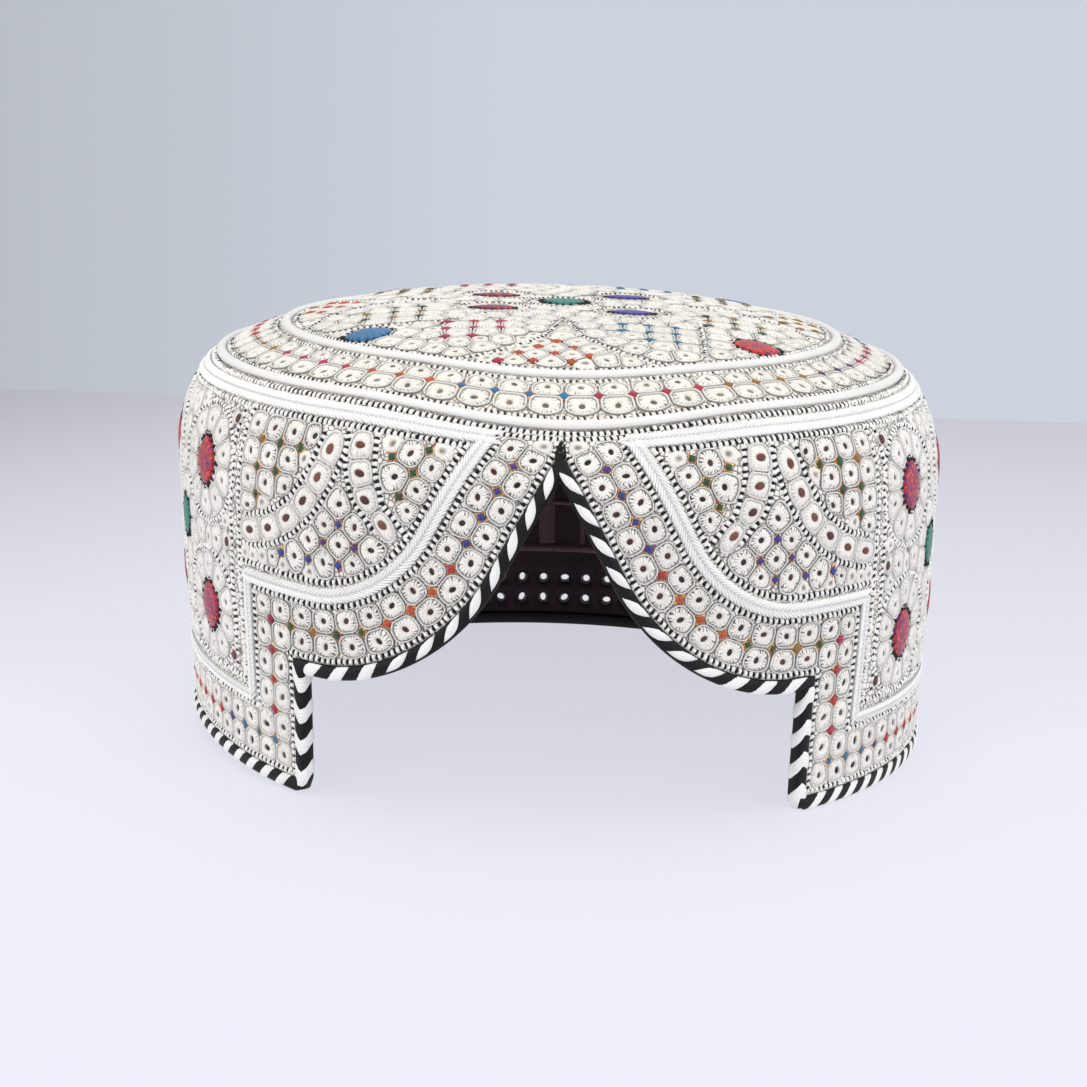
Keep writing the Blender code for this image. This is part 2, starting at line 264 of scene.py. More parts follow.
def padUnit(columns, rows, length, width, height, tip=1.0, power=2.0):  # a low pad with drawn-in ends
    clearSelection()
    bpy.ops.mesh.primitive_grid_add(x_subdivisions=columns, y_subdivisions=rows, size=1)
    pad = bpy.context.object
    for v in pad.data.vertices:
        x, y = v.co.x * 2, v.co.y * 2
        shape = 1 - (1 - tip) * abs(x) ** power
        v.co = (x * length / 2 * mm, y * width / 2 * shape * mm, 0)
        sunk = 0.06 * mm * (abs(y) > 0.99 or abs(x) > 0.99)
        v.co.z = height * mm * max(1 - abs(x) ** 4, 0) * max(1 - y * y, 0) - sunk
    return pad


def readUnit(piece, polar=True):  # a unit's mesh as arrays, with a thread map round it (polar) or along it
    mesh = piece.data
    co = np.array([v.co for v in mesh.vertices])
    verts = np.array([loop.vertex_index for loop in mesh.loops])
    totals = np.array([face.loop_total for face in mesh.polygons])
    starts = np.concatenate([[0], np.cumsum(totals)[:-1]])
    flip = sum(face.normal.z * face.area for face in mesh.polygons) < 0
    if flip:
        for start, total in zip(starts, totals):
            verts[start : start + total] = verts[start : start + total][::-1]
    reach = np.abs(co[:, :2]).max()
    if polar:
        angle, radius = np.arctan2(co[:, 1], co[:, 0]) / (2 * math.pi), np.hypot(co[:, 0], co[:, 1]) / reach
        turn = angle[verts]
        centre = [np.arctan2(*co[verts[a : a + n]].mean(0)[1::-1]) for a, n in zip(starts, totals)]
        turn = turn + np.round(np.repeat(centre, totals) / (2 * math.pi) - turn)
        uv = np.stack([turn, radius[verts]], 1)
    else:
        uv = co[verts][:, :2] / (2 * np.abs(co[:, :2]).max(0)) + 0.5
    data = {"co": co, "verts": verts, "totals": totals, "uv": uv}
    bpy.data.meshes.remove(mesh)
    return data


def setValues(mesh, name, kind, domain, key, values):
    layer = mesh.attributes.new(name, kind, domain)
    layer.data.foreach_set(key, np.ascontiguousarray(values, np.float32).ravel())


def addMesh(name, co, verts, totals, uv, material, tint=None, depth=None):
    mesh = bpy.data.meshes.new(name)
    mesh.vertices.add(len(co))
    mesh.vertices.foreach_set("co", np.ascontiguousarray(co, np.float32).ravel())
    mesh.loops.add(len(verts))
    mesh.loops.foreach_set("vertex_index", np.ascontiguousarray(verts, np.int32))
    mesh.polygons.add(len(totals))
    mesh.polygons.foreach_set("loop_start", np.concatenate([[0], np.cumsum(totals)[:-1]]).astype(np.int32))
    mesh.update(calc_edges=True)
    layer = mesh.uv_layers.new(name="threadMap")
    layer.data.foreach_set("uv", np.ascontiguousarray(uv, np.float32).ravel())
    if tint is not None:
        setValues(mesh, "tint", "FLOAT_COLOR", "POINT", "color", tint)
    if depth is not None:
        setValues(mesh, "depth", "FLOAT", "POINT", "value", depth)
    mesh.shade_smooth()
    piece = bpy.data.objects.new(name, mesh)
    scene.collection.objects.link(piece)
    mesh.materials.append(material)
    return piece


def gridMesh(name, grids, maps, material, flip=False):  # small grids joined, with thread maps
    verts, uv, base = [], [], 0
    for co, share in zip(grids, maps):
        index = np.arange(co.shape[0] * co.shape[1]).reshape(co.shape[:2])
        corners = [index[:-1, :-1], index[1:, :-1], index[1:, 1:], index[:-1, 1:]]
        quads = np.stack([corners[k] for k in ((0, 3, 2, 1) if flip else (0, 1, 2, 3))], -1).reshape(-1, 4)
        verts.append(base + quads)
        uv.append(share.reshape(-1, 2)[quads.ravel()])
        base += index.size
    verts = np.concatenate(verts)
    co = np.concatenate([grid.reshape(-1, 3) for grid in grids])
    return addMesh(name, co, verts.ravel(), np.full(len(verts), 4), np.concatenate(uv), material)


cellRadius = 3.0 * mm  # the radius that cells, cords and knots are modelled at
pale = {"side": deg(43), "sideFade": deg(9), "low": 31 * mm, "lowFade": 6 * mm, "share": 0.56}


def contrastAt(u, s):  # how strongly the needlework is drawn: full in front, paler on flaps, rim and sides
    side = np.clip((np.abs(u) - pale["side"]) / pale["sideFade"], 0, 1)
    low = np.clip((pale["low"] - s) / pale["lowFade"], 0, 1)
    return 1 - pale["share"] * np.maximum(side, low)


def joinCopies(name, unit, places, material, plan=False, depthAt=None, reach=None, contrast=None):
    # each place: u, s, scale along, scale across, turn, lift, then a tint of three values
    # reach, if given, is how far each copy's outline stands from its middle in each direction
    places = np.asarray(places, float).reshape(-1, 9)
    count, size = len(places), len(unit["co"])
    x, y, h = (unit["co"][None, :, k] for k in (0, 1, 2))
    along, across, turn, lift = (places[:, k, None] for k in (2, 3, 4, 5))
    if reach is None:
        a, b = x * along, y * across
    else:
        angle, part = np.arctan2(y, x), np.hypot(x, y) / cellRadius
        place = ((angle + turn) / (2 * math.pi)) % 1 * reach.shape[1]
        low = np.floor(place).astype(int) % reach.shape[1]
        first, second = (np.take_along_axis(reach, (low + k) % reach.shape[1], 1) for k in (0, 1))
        outline = first + (second - first) * (place - np.floor(place))
        outward = np.clip((part - 0.26) / 0.5, 0, 1)
        outward = outward * outward * (3 - 2 * outward)
        far = along * cellRadius * part + (outline - along * cellRadius) * outward * np.maximum(part, 0.6)
        long = 1 + (across / along - 1) * (1 - outward)
        a, b = far * np.cos(angle) / long, far * np.sin(angle) * long
    du, ds = a * np.cos(turn) - b * np.sin(turn), a * np.sin(turn) + b * np.cos(turn)
    high = h * np.minimum(np.sqrt(along * across), 1.15) + lift
    if plan:
        co = wrapPlan(places[:, 0, None] + du, places[:, 1, None] + ds, high)
    else:
        s = places[:, 1, None] + ds
        r = np.interp(places[:, 1, None] + 0 * ds, sectionS, sectionR)
        co = wrapPoints(places[:, 0, None] + du * patternR / r, s, high)
    verts = (unit["verts"][None] + np.arange(count)[:, None] * size).ravel()
    if contrast is None:
        contrast = 1.0 if plan else contrastAt(places[:, 0], places[:, 1])
    tint = np.repeat(np.column_stack([places[:, 6:9], np.broadcast_to(contrast, count)]), size, 0)
    depth = None if depthAt is None else np.tile(depthAt(unit["co"]), count)
    uv = np.tile(unit["uv"], (count, 1))
    return addMesh(name, co.reshape(-1, 3), verts, np.tile(unit["totals"], count), uv, material, tint, depth)


def sheetMesh(name, points, material, closeAcross=False, closeAlong=False):
    # a grid laid through points[column][row]; closed ways share their last line with their first
    points = np.asarray(points, float)
    columns, rows = points.shape[:2]
    clearSelection()
    bpy.ops.mesh.primitive_grid_add(x_subdivisions=columns - 1, y_subdivisions=rows - 1, size=2)
    piece = bpy.context.object
    piece.name = piece.data.name = name
    co = np.empty(len(piece.data.vertices) * 3)
    piece.data.vertices.foreach_get("co", co)
    co = co.reshape(-1, 3)
    column = np.rint((co[:, 0] + 1) / 2 * (columns - 1)).astype(int)
    row = np.rint((co[:, 1] + 1) / 2 * (rows - 1)).astype(int)
    piece.data.vertices.foreach_set("co", points[column, row].ravel())
    piece.data.uv_layers[0].name = "threadMap"
    if closeAcross or closeAlong:
        bpy.ops.object.mode_set(mode="EDIT")
        bpy.ops.mesh.select_all(action="SELECT")
        bpy.ops.mesh.remove_doubles(threshold=0.000002)
        bpy.ops.mesh.normals_make_consistent(inside=False)
        bpy.ops.object.mode_set(mode="OBJECT")
    piece.data.shade_smooth()
    piece.data.materials.append(material)
    return piece


def thicken(piece, thickness):
    solid = piece.modifiers.new("thickness", "SOLIDIFY")
    solid.thickness, solid.offset = thickness, -1
    bpy.ops.object.modifier_apply(modifier="thickness")
    return piece


def bandMesh(name, line, pitch, profile, width, base, rise, material):
    # a low bar along a line; the profile holds shares of its width across and of its rise off the base
    spots, turns = resample(line, pitch)
    across = np.stack([-np.sin(turns), np.cos(turns)], 1)
    co = []
    for share, high in profile:
        place = spots + across * width * share
        co.append(wrapPoints(place[:, 0], place[:, 1], base + high * rise)[:: 1 if rise > 0 else -1])
    return sheetMesh(name, np.stack(co, 1), material)


def joinPieces(name, made):
    clearSelection()
    for piece in made:
        piece.select_set(True)
    bpy.context.view_layer.objects.active = made[0]
    bpy.ops.object.join()
    piece = bpy.context.object
    piece.name = piece.data.name = name
    return piece


def finishPiece(piece, slotName, *nodes):
    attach(piece, "root")
    if nodes:
        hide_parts(*nodes)
    return piece


# ---- materials ----


def addNode(tree, kind, **values):
    node = tree.nodes.new(kind)
    for key, value in values.items():
        if hasattr(node, key):
            setattr(node, key, value)
        else:
            node.inputs[key.replace("_", " ")].default_value = value
    return node


def mathNode(tree, operation, first, second=None, clamp=False):
    node = tree.nodes.new("ShaderNodeMath")
    node.operation, node.use_clamp = operation, clamp
    for socket, value in zip(node.inputs, (first, second)):
        if isinstance(value, (int, float)):
            socket.default_value = value
        elif value is not None:
            tree.links.new(value, socket)
    return node.outputs[0]


def mixNode(tree, share, first, second, blend="MIX"):
    node = tree.nodes.new("ShaderNodeMix")
    node.data_type, node.blend_type = "RGBA", blend
    for socket, value in zip((node.inputs[0], node.inputs[6], node.inputs[7]), (share, first, second)):
        if isinstance(value, (int, float, tuple)):
            socket.default_value = value
        else:
            tree.links.new(value, socket)
    return node.outputs[2]


def noiseNode(tree, place, scale, detail):
    noise = addNode(tree, "ShaderNodeTexNoise", Scale=scale, Detail=detail)
    tree.links.new(place, noise.inputs["Vector"])
    return noise.outputs["Fac"]


def rampNode(tree, value, start, gain):  # nothing up to the start value, then steadily up to full
    return mathNode(tree, "MULTIPLY", mathNode(tree, "SUBTRACT", value, start), gain, clamp=True)


def newMaterial(name, look):
    material = bpy.data.materials.new(name)
    material.use_nodes = True
    shader = material.node_tree.nodes["Principled BSDF"]
    shader.inputs["Roughness"].default_value = look["roughness"]
    shader.inputs["Sheen Weight"].default_value = look.get("sheen", 0.0)
    shader.inputs["Specular IOR Level"].default_value = look.get("specular", 0.4)
    place = addNode(material.node_tree, "ShaderNodeTexCoord").outputs["Object"]
    return material, material.node_tree, shader, place


def newGroup(name, inputs, outputs):
    tree = bpy.data.node_groups.new(name, "ShaderNodeTree")
    for label, kind, value in inputs:
        socket = tree.interface.new_socket(label, in_out="INPUT", socket_type=kind)
        if value is not None:
            socket.default_value = value
    for label, kind in outputs:
        tree.interface.new_socket(label, in_out="OUTPUT", socket_type=kind)
    return tree, tree.nodes.new("NodeGroupInput"), tree.nodes.new("NodeGroupOutput")


def makeStrandGroup():  # parallel threads across the map's first axis, a little uneven
    tree, came, goes = newGroup(
        "strandLines",
        (("Map", "NodeSocketVector", None), ("Place", "NodeSocketVector", None),
            ("Count", "NodeSocketFloat", 20.0),
         ("Slant", "NodeSocketFloat", 0.0), ("Unevenness", "NodeSocketFloat", 0.6)),
        (("Ridge", "NodeSocketFloat"),),
    )
    parts = addNode(tree, "ShaderNodeSeparateXYZ")
    tree.links.new(came.outputs["Map"], parts.inputs[0])
    noise = noiseNode(tree, came.outputs["Place"], 900.0, 2.0)
    leaning = mathNode(tree, "MULTIPLY", parts.outputs[1], came.outputs["Slant"])
    across = mathNode(tree, "MULTIPLY", mathNode(tree, "ADD", parts.outputs[0], leaning),
        came.outputs["Count"])
    shift = mathNode(tree, "MULTIPLY", noise, came.outputs["Unevenness"])
    turn = mathNode(tree, "MULTIPLY", mathNode(tree, "ADD", across, shift), 2 * math.pi)
    wave = mathNode(tree, "MULTIPLY", mathNode(tree, "SINE", turn), 0.5)
    tree.links.new(mathNode(tree, "ADD", wave, 0.5), goes.inputs["Ridge"])
    return tree


def makeToneGroup():  # a thread colour with painted shade between threads, and a tone that drifts a little from place to place
    tree, came, goes = newGroup(
        "threadTone",
        (("Thread", "NodeSocketColor", (0.8, 0.8, 0.8, 1)), ("Shade", "NodeSocketColor", (0.4, 0.4, 0.4, 1)),
         ("Ridge", "NodeSocketFloat", 1.0), ("Place", "NodeSocketVector", None),
         ("Depth", "NodeSocketFloat", 0.5)),
        (("Color", "NodeSocketColor"),),
    )
    drift = noiseNode(tree, came.outputs["Place"], 60.0, 3.0)
    gap = mathNode(tree, "MULTIPLY", mathNode(tree, "SUBTRACT", 1.0, came.outputs["Ridge"]),
        came.outputs["Depth"])
    wander = mathNode(tree, "MULTIPLY", mathNode(tree, "SUBTRACT", drift, 0.5), 0.35)
    share = mathNode(tree, "ADD", mathNode(tree, "POWER", gap, 1.5), wander, clamp=True)
    tree.links.new(mixNode(tree, share, came.outputs["Thread"], came.outputs["Shade"]), goes.inputs["Color"])
    return tree


strandGroup, toneGroup = makeStrandGroup(), makeToneGroup()


def threadMaterial(name, look):
    material, tree, shader, place = newMaterial(name, look)
    threadMap = addNode(tree, "ShaderNodeUVMap", uv_map="threadMap").outputs[0]
    strands = addNode(tree, "ShaderNodeGroup", node_tree=strandGroup)
    strands.inputs["Count"].default_value = look["count"]
    strands.inputs["Slant"].default_value = look.get("slant", 0.0)
    strands.inputs["Unevenness"].default_value = look.get("uneven", 0.6)
    tree.links.new(threadMap, strands.inputs["Map"])
    tree.links.new(place, strands.inputs["Place"])
    tone = addNode(tree, "ShaderNodeGroup", node_tree=toneGroup)
    tone.inputs["Shade"].default_value = look["shade"]
    tone.inputs["Depth"].default_value = look["depth"]
    tree.links.new(strands.outputs["Ridge"], tone.inputs["Ridge"])
    tree.links.new(place, tone.inputs["Place"])
    if look.get("tinted"):
        tint = addNode(tree, "ShaderNodeAttribute", attribute_name="tint")
        tree.links.new(tint.outputs["Color"], tone.inputs["Thread"])
        if look["tinted"] == "deep":
            dark = mixNode(tree, 1.0, tint.outputs["Color"], look["shade"], "MULTIPLY")
            tree.links.new(dark, tone.inputs["Shade"])
    else:
        tone.inputs["Thread"].default_value = look["thread"]
    colour = tone.outputs["Color"]
    parts = addNode(tree, "ShaderNodeSeparateXYZ")
    tree.links.new(threadMap, parts.inputs[0])
    if look.get("flecks"):  # stitches of other colours among the silk
        for scale, least, fleck in look["flecks"]:
            share = rampNode(tree, noiseNode(tree, place, scale, 1.0), least, 14.0)
            colour = mixNode(tree, share, colour, fleck)
    if look.get("edge"):  # painted shade, darker where one stitch dips beside the next
        away = mathNode(tree, "ABSOLUTE", mathNode(tree, "SUBTRACT", parts.outputs[1], 0.5))
        start, gain, dip = look["edge"]
        colour = mixNode(tree, rampNode(tree, away, start, gain), colour, dip)
    if look.get("groove"):  # the shaded dip between a cell's threads and the cord round it
        for centre, sharpness in look["groove"][0]:
            away = mathNode(tree, "ABSOLUTE", mathNode(tree, "SUBTRACT", parts.outputs[1], centre))
            share = mathNode(tree, "SUBTRACT", 1.0, mathNode(tree, "MULTIPLY", away, sharpness))
            share = mathNode(tree, "MULTIPLY", share, 0.95, clamp=True)
            colour = mixNode(tree, mathNode(tree, "MULTIPLY", share, tint.outputs["Alpha"]), colour,
                look["groove"][1])
    if look.get("pit"):  # painted shade inside the eyelet's hole and the knot's dimple, browner in noisy patches, paler where the needlework is drawn paler
        depth = addNode(tree, "ShaderNodeAttribute", attribute_name="depth")
        brownPatch = rampNode(tree, noiseNode(tree, place, 150.0, 0.0), 0.42, 6.0)
        pit = mixNode(tree, brownPatch, look["pit"], look["brownPit"])
        pit = mixNode(tree, tint.outputs["Alpha"], look["palePit"], pit)
        colour = mixNode(tree, depth.outputs["Fac"], colour, pit)
    if look.get("dashes"):  # short dark gaps between the threads near the outline
        start, full, dashColour = look["dashes"]
        ring = addNode(tree, "ShaderNodeMapRange", From_Min=start, From_Max=full)
        tree.links.new(parts.outputs[1], ring.inputs["Value"])
        gap = mathNode(tree, "SUBTRACT", 0.45, strands.outputs["Ridge"])
        shown = rampNode(tree, noiseNode(tree, place, 620.0, 1.0), 0.41, 7.0)
        shown = mathNode(tree, "MULTIPLY", shown, tint.outputs["Alpha"])
        dash = mathNode(tree, "MULTIPLY", gap, 2.6, clamp=True)
        dash = mathNode(tree, "MULTIPLY", dash, ring.outputs[0], clamp=True)
        colour = mixNode(tree, mathNode(tree, "MULTIPLY", dash, shown, clamp=True), colour, dashColour)
    tree.links.new(colour, shader.inputs["Base Color"])
    bump = addNode(tree, "ShaderNodeBump", Strength=look.get("bump", 0.6), Distance=0.12 * mm)
    tree.links.new(strands.outputs["Ridge"], bump.inputs["Height"])
    tree.links.new(bump.outputs[0], shader.inputs["Normal"])
    return material


def clothMaterial(name, look):  # cloth: a fine weave or packed small stitches, with soft folds; its colour holds painted shade, darker in the gaps between stitches and in the hollows of the folds
    material, tree, shader, place = newMaterial(name, look)
    weave = addNode(tree, "ShaderNodeTexVoronoi", Scale=look["scale"])
    tree.links.new(place, weave.inputs["Vector"])
    folds = noiseNode(tree, place, look["foldScale"], 4.0)
    if look.get("packed"):
        weave.feature = "DISTANCE_TO_EDGE"
        share = mathNode(tree, "MULTIPLY", weave.outputs["Distance"], look["packed"], clamp=True)
        share = mathNode(tree, "MULTIPLY", share, mathNode(tree, "ADD", folds, 0.45), clamp=True)
    else:
        share = mathNode(tree, "MULTIPLY", weave.outputs["Distance"], folds, clamp=True)
    tree.links.new(mixNode(tree, share, look["low"], look["high"]), shader.inputs["Base Color"])
    height = mathNode(tree, "ADD", weave.outputs["Distance"], mathNode(tree, "MULTIPLY", folds, 2.0))
    bump = addNode(tree, "ShaderNodeBump", Strength=look["bump"], Distance=look["lift"] * mm)
    tree.links.new(height, bump.inputs["Height"])
    tree.links.new(bump.outputs[0], shader.inputs["Normal"])
    return material


ivory, cream, snow = rgb(238, 234, 226), rgb(236, 231, 220), rgb(247, 245, 240)
looks = {
    # in the eyelet, crown eyelet and knot looks, the pit colours are painted shade in the holes and dimples
    "eyelet": {
        "roughness": 0.55, "sheen": 0.15, "count": 18, "uneven": 2.2, "depth": 0.5, "tinted": "plain",
        "shade": rgb(196, 192, 185), "pit": rgb(26, 20, 19), "brownPit": rgb(84, 44, 34),
        "palePit": rgb(112, 99, 88),
        "dashes": (0.5, 0.8, rgb(70, 64, 60))},
    "crownEyelet": {
        "roughness": 0.55, "sheen": 0.15, "count": 18, "uneven": 2.2, "depth": 0.5, "tinted": "plain",
        "shade": rgb(196, 190, 179), "pit": rgb(104, 96, 85), "brownPit": rgb(140, 128, 112),
        "palePit": rgb(112, 104, 93), "dashes": (0.6, 0.85, rgb(140, 133, 122))},
    "knot": {
        "roughness": 0.6, "sheen": 0.15, "count": 14, "uneven": 1.8, "depth": 0.5, "tinted": "plain",
        "bump": 0.7,
        "shade": rgb(196, 192, 185), "pit": rgb(176, 167, 156), "brownPit": rgb(160, 146, 132),
        "palePit": rgb(196, 188, 178)},
    "cord": {
        "roughness": 0.5, "sheen": 0.1, "count": 46, "slant": 5.0, "depth": 0.3, "tinted": "plain",
        "bump": 0.5,
        "shade": rgb(196, 190, 181), "groove": (((0.83, 15.0), (0.985, 20.0)), rgb(66, 58, 52))},
    "crownCord": {
        "roughness": 0.5, "sheen": 0.1, "count": 46, "slant": 5.0, "depth": 0.3, "tinted": "plain",
        "bump": 0.5,
        "shade": rgb(214, 208, 198), "groove": (((0.83, 18.0), (0.985, 24.0)), rgb(94, 86, 75))},
    "bead": {"roughness": 0.5, "sheen": 0.1, "count": 3, "depth": 0.3, "thread": snow,
        "shade": rgb(190, 188, 184)},
    # the braid's edge colour is painted shade where one stitch dips beside the next
    "braid": {
        "roughness": 0.42, "sheen": 0.15, "count": 1.5, "uneven": 0.5, "depth": 0.4,
        "thread": rgb(242, 240, 236), "shade": rgb(214, 212, 208), "edge": (0.38, 6.0, rgb(186, 184, 183))},
    # the bar under the braid's stitches is painted greyer, as the shade beneath them
    "shadedBraidBar": {
        "roughness": 0.6, "count": 1.5, "depth": 0.3, "thread": rgb(200, 199, 198),
        "shade": rgb(150, 150, 150)},
    "ring": {
        "roughness": 0.42, "sheen": 0.15, "specular": 0.45, "count": 520, "slant": 0.03, "uneven": 3.0,
        "depth": 0.45, "thread": rgb(230, 228, 224), "shade": rgb(196, 193, 189), "bump": 0.3},
    "black": {
        "roughness": 0.5, "specular": 0.25, "count": 5, "depth": 0.6, "thread": rgb(26, 25, 27),
        "shade": rgb(8, 8, 9)},
    "bindingGround": {
        "roughness": 0.5, "specular": 0.2, "count": 900, "slant": 0.02, "depth": 0.7,
        "thread": rgb(18, 18, 19),
        "shade": rgb(5, 5, 6)},
    "bindingStitch": {
        "roughness": 0.45, "sheen": 0.2, "specular": 0.45, "count": 5, "depth": 0.45,
        "thread": rgb(240, 239, 236), "shade": rgb(184, 182, 180)},
    "star": {
        "roughness": 0.38, "sheen": 0.1, "specular": 0.5, "count": 8, "depth": 0.7, "tinted": "deep",
        "shade": (0.3, 0.3, 0.3, 1)},
    "gold": {
        "roughness": 0.4, "specular": 0.5, "count": 10, "depth": 0.7, "thread": rgb(222, 158, 78),
        "shade": rgb(128, 72, 30),
        "flecks": ((1500.0, 0.56, rgb(244, 214, 140)), (900.0, 0.58, rgb(150, 66, 26)))},
    "silk": {
        "roughness": 0.4, "sheen": 0.1, "specular": 0.45, "count": 16, "uneven": 1.6, "depth": 0.8,
        "tinted": "deep", "shade": (0.28, 0.2, 0.4, 1),
        "flecks": ((820.0, 0.545, rgb(208, 70, 40)), (700.0, 0.56, rgb(84, 30, 96)))},
    "plainSilk": {
        "roughness": 0.4, "sheen": 0.1, "specular": 0.45, "count": 16, "uneven": 1.6, "depth": 0.8,
        "tinted": "deep", "shade": (0.3, 0.35, 0.4, 1)},
    "oval": {
        "roughness": 0.4, "specular": 0.5, "count": 10, "depth": 0.8, "tinted": "deep",
        "shade": (0.4, 0.3, 0.3, 1)},
}
# each cloth's low colour is painted shade in the gaps between its stitches or threads and in fold hollows
cloths = {
    "groundCloth": {
        "roughness": 0.75, "sheen": 0.1, "specular": 0.2, "scale": 850.0, "foldScale": 300.0, "packed": 6.0,
        "low": rgb(66, 60, 56), "high": rgb(236, 232, 224), "bump": 0.7, "lift": 0.25},
    "crownGroundCloth": {
        "roughness": 0.75, "sheen": 0.1, "specular": 0.2, "scale": 850.0, "foldScale": 300.0, "packed": 6.0,
        "low": rgb(96, 88, 78), "high": rgb(228, 222, 210), "bump": 0.7, "lift": 0.25},
    # a lighter copy of the dark lining, painted light on the rises of its folds
    "litLiningFolds": {
        "roughness": 0.6, "sheen": 0.3, "specular": 0.2, "scale": 1800.0, "foldScale": 60.0,
        "low": rgb(58, 42, 50), "high": rgb(150, 112, 120), "bump": 0.4, "lift": 0.2},
    "darkLining": {
        "roughness": 0.7, "sheen": 0.1, "specular": 0.2, "scale": 2600.0, "foldScale": 45.0,
        "low": rgb(9, 5, 8), "high": rgb(84, 58, 66), "bump": 0.35, "lift": 0.2},
}
paint = {name: threadMaterial(name + "Thread", look) for name, look in looks.items()}
paint |= {name: clothMaterial(name, look) for name, look in cloths.items()}
print("scene: materials made")

# ---- the layout of the needlework on the pattern, right half; the left half is its mirror ----

threads = {
    "blue": rgb(42, 48, 138), "teal": rgb(36, 112, 150), "green": rgb(24, 74, 34), "red": rgb(178, 34, 26),
    "orange": rgb(196, 74, 28), "magenta": rgb(174, 24, 66), "gold": rgb(150, 108, 30),
    "purple": rgb(70, 40, 126),
}
layout = {  # insets from the free edge, then the stars' colours from the arch's point on
    "rowA": 7.65 * mm, "starRow": 10.65 * mm, "rowB": 13.65 * mm, "band": 19.6 * mm,
    "ladders": ((4.3 * mm, 91.4 * mm), (16.9 * mm, 90.6 * mm), (22.4 * mm, 88.2 * mm)),
    "panelTop": 88.2 * mm, "firstStar": 84.0 * mm, "highestCell": 90.5 * mm, "rimTiles": 35,
    "archStars": "purple blue blue blue red orange orange orange green green gold green magenta".split(),
    "flapStars": "magenta red magenta teal".split(),
    "rimStars": (
        "teal teal blue red red red orange orange gold blue blue teal red red orange gold green green teal blue "
        "magenta magenta red"
    ).split(),
}
eyelets, openEyelets, pears, stars, medallions, ladders, knots = [], [], [], [], [], [], []
crownEyelets, crownStars, crownMedallions, crownLadders, crownKnots = [], [], [], [], []
blocked, crownBlocked = [], []  # circles that the filling keeps clear of: u, s, radius
walls, crownWalls = [], []  # those of them that also stop a cell from swelling


def keepClear(u, s, radius, wallRadius):
    blocked.append((u, s, radius))
    walls.append((u, s, wallRadius))


def addEyelet(u, s, radius=cellRadius, tall=1.0, turn=0.0, into=None):
    (eyelets if into is None else into).append((u, s, radius, tall, turn))
    blocked.append((u, s, radius * max(tall, 1) * 0.97))


def addStar(u, s, name, turn=0.0):
    stars.append((u, s, 1.0, turn, name))
    keepClear(u, s, 1.1 * mm, 0.95 * mm)


def addLadder(points, closed=False):
    ladders.append((np.asarray(points), closed, 1.0))
    for u, s in resample(points, 1.0 * mm, closed)[0]:
        keepClear(u, s, 0.8 * mm, 0.5 * mm)


def below(points, top):
    points = np.asarray(points)
    return points[points[:, 1] <= top]


def between(t):
    return (t[1:] + t[:-1]) / 2


panelTop = layout["panelTop"]
firstStar = float(np.interp(-layout["firstStar"], -guide[:flapIndex, 1], guideLength[:flapIndex]))
cornerT, footT, endT = guideLength[flapIndex], guideLength[footIndex], guideLength[-1]
archT = np.linspace(firstStar, cornerT, len(layout["archStars"]))
flapT = np.linspace(cornerT, footT, len(layout["flapStars"]) + 1)
rimT = np.linspace(footT, endT, layout["rimTiles"] + 1)


def turnAt(t):
    before, after = edgeAt(t - 0.4 * mm, guideInset), edgeAt(t + 0.4 * mm, guideInset)
    return math.atan2(after[1] - before[1], after[0] - before[0])


for t, name in zip(archT, layout["archStars"]):
    addStar(*edgeAt(t, layout["starRow"]), name, turnAt(t))
for t, name in zip(flapT[1:], layout["flapStars"]):
    addStar(*edgeAt(t, layout["starRow"]), name, 0 if t < footT - mm else math.pi / 4)
for k, t in enumerate(rimT[1:-1]):
    addStar(*edgeAt(t, layout["starRow"]), layout["rimStars"][k % len(layout["rimStars"])])
for t in np.concatenate([[archT[0] - (archT[1] - archT[0]) / 2], between(archT)]):
    for row, radius in (("rowA", 3.05 * mm), ("rowB", 2.95 * mm)):
        place = edgeAt(t, layout[row])
        if place[1] < layout["highestCell"]:
            addEyelet(*place, radius, 1.04, turnAt(t))
for row, flapPlaces in (("rowA", between(flapT)[1:]), ("rowB", between(flapT)[:-1])):
    for t in flapPlaces:
        addEyelet(*edgeAt(t, layout[row]), 3.2 * mm, 0.95, math.pi / 2)
outU = archForm["halfWidth"]
addEyelet(outU + layout["rowB"], archForm["shoulder"] + layout["rowB"], 2.9 * mm)
addEyelet(outU + layout["rowA"], layout["rowA"], 2.9 * mm)
for t in between(rimT):
    for row in ("rowA", "rowB"):
        addEyelet(*edgeAt(t, layout[row]), 3.05 * mm, 1.08, 0, openEyelets)
for inset, top in layout["ladders"]:
    addLadder(below(edgeLine(inset), top))
bandLine = edgeLine(layout["band"])
for u, s in resample(below(bandLine, 93 * mm), 1.0 * mm)[0]:
    keepClear(u, s, 1.9 * mm, 1.8 * mm)

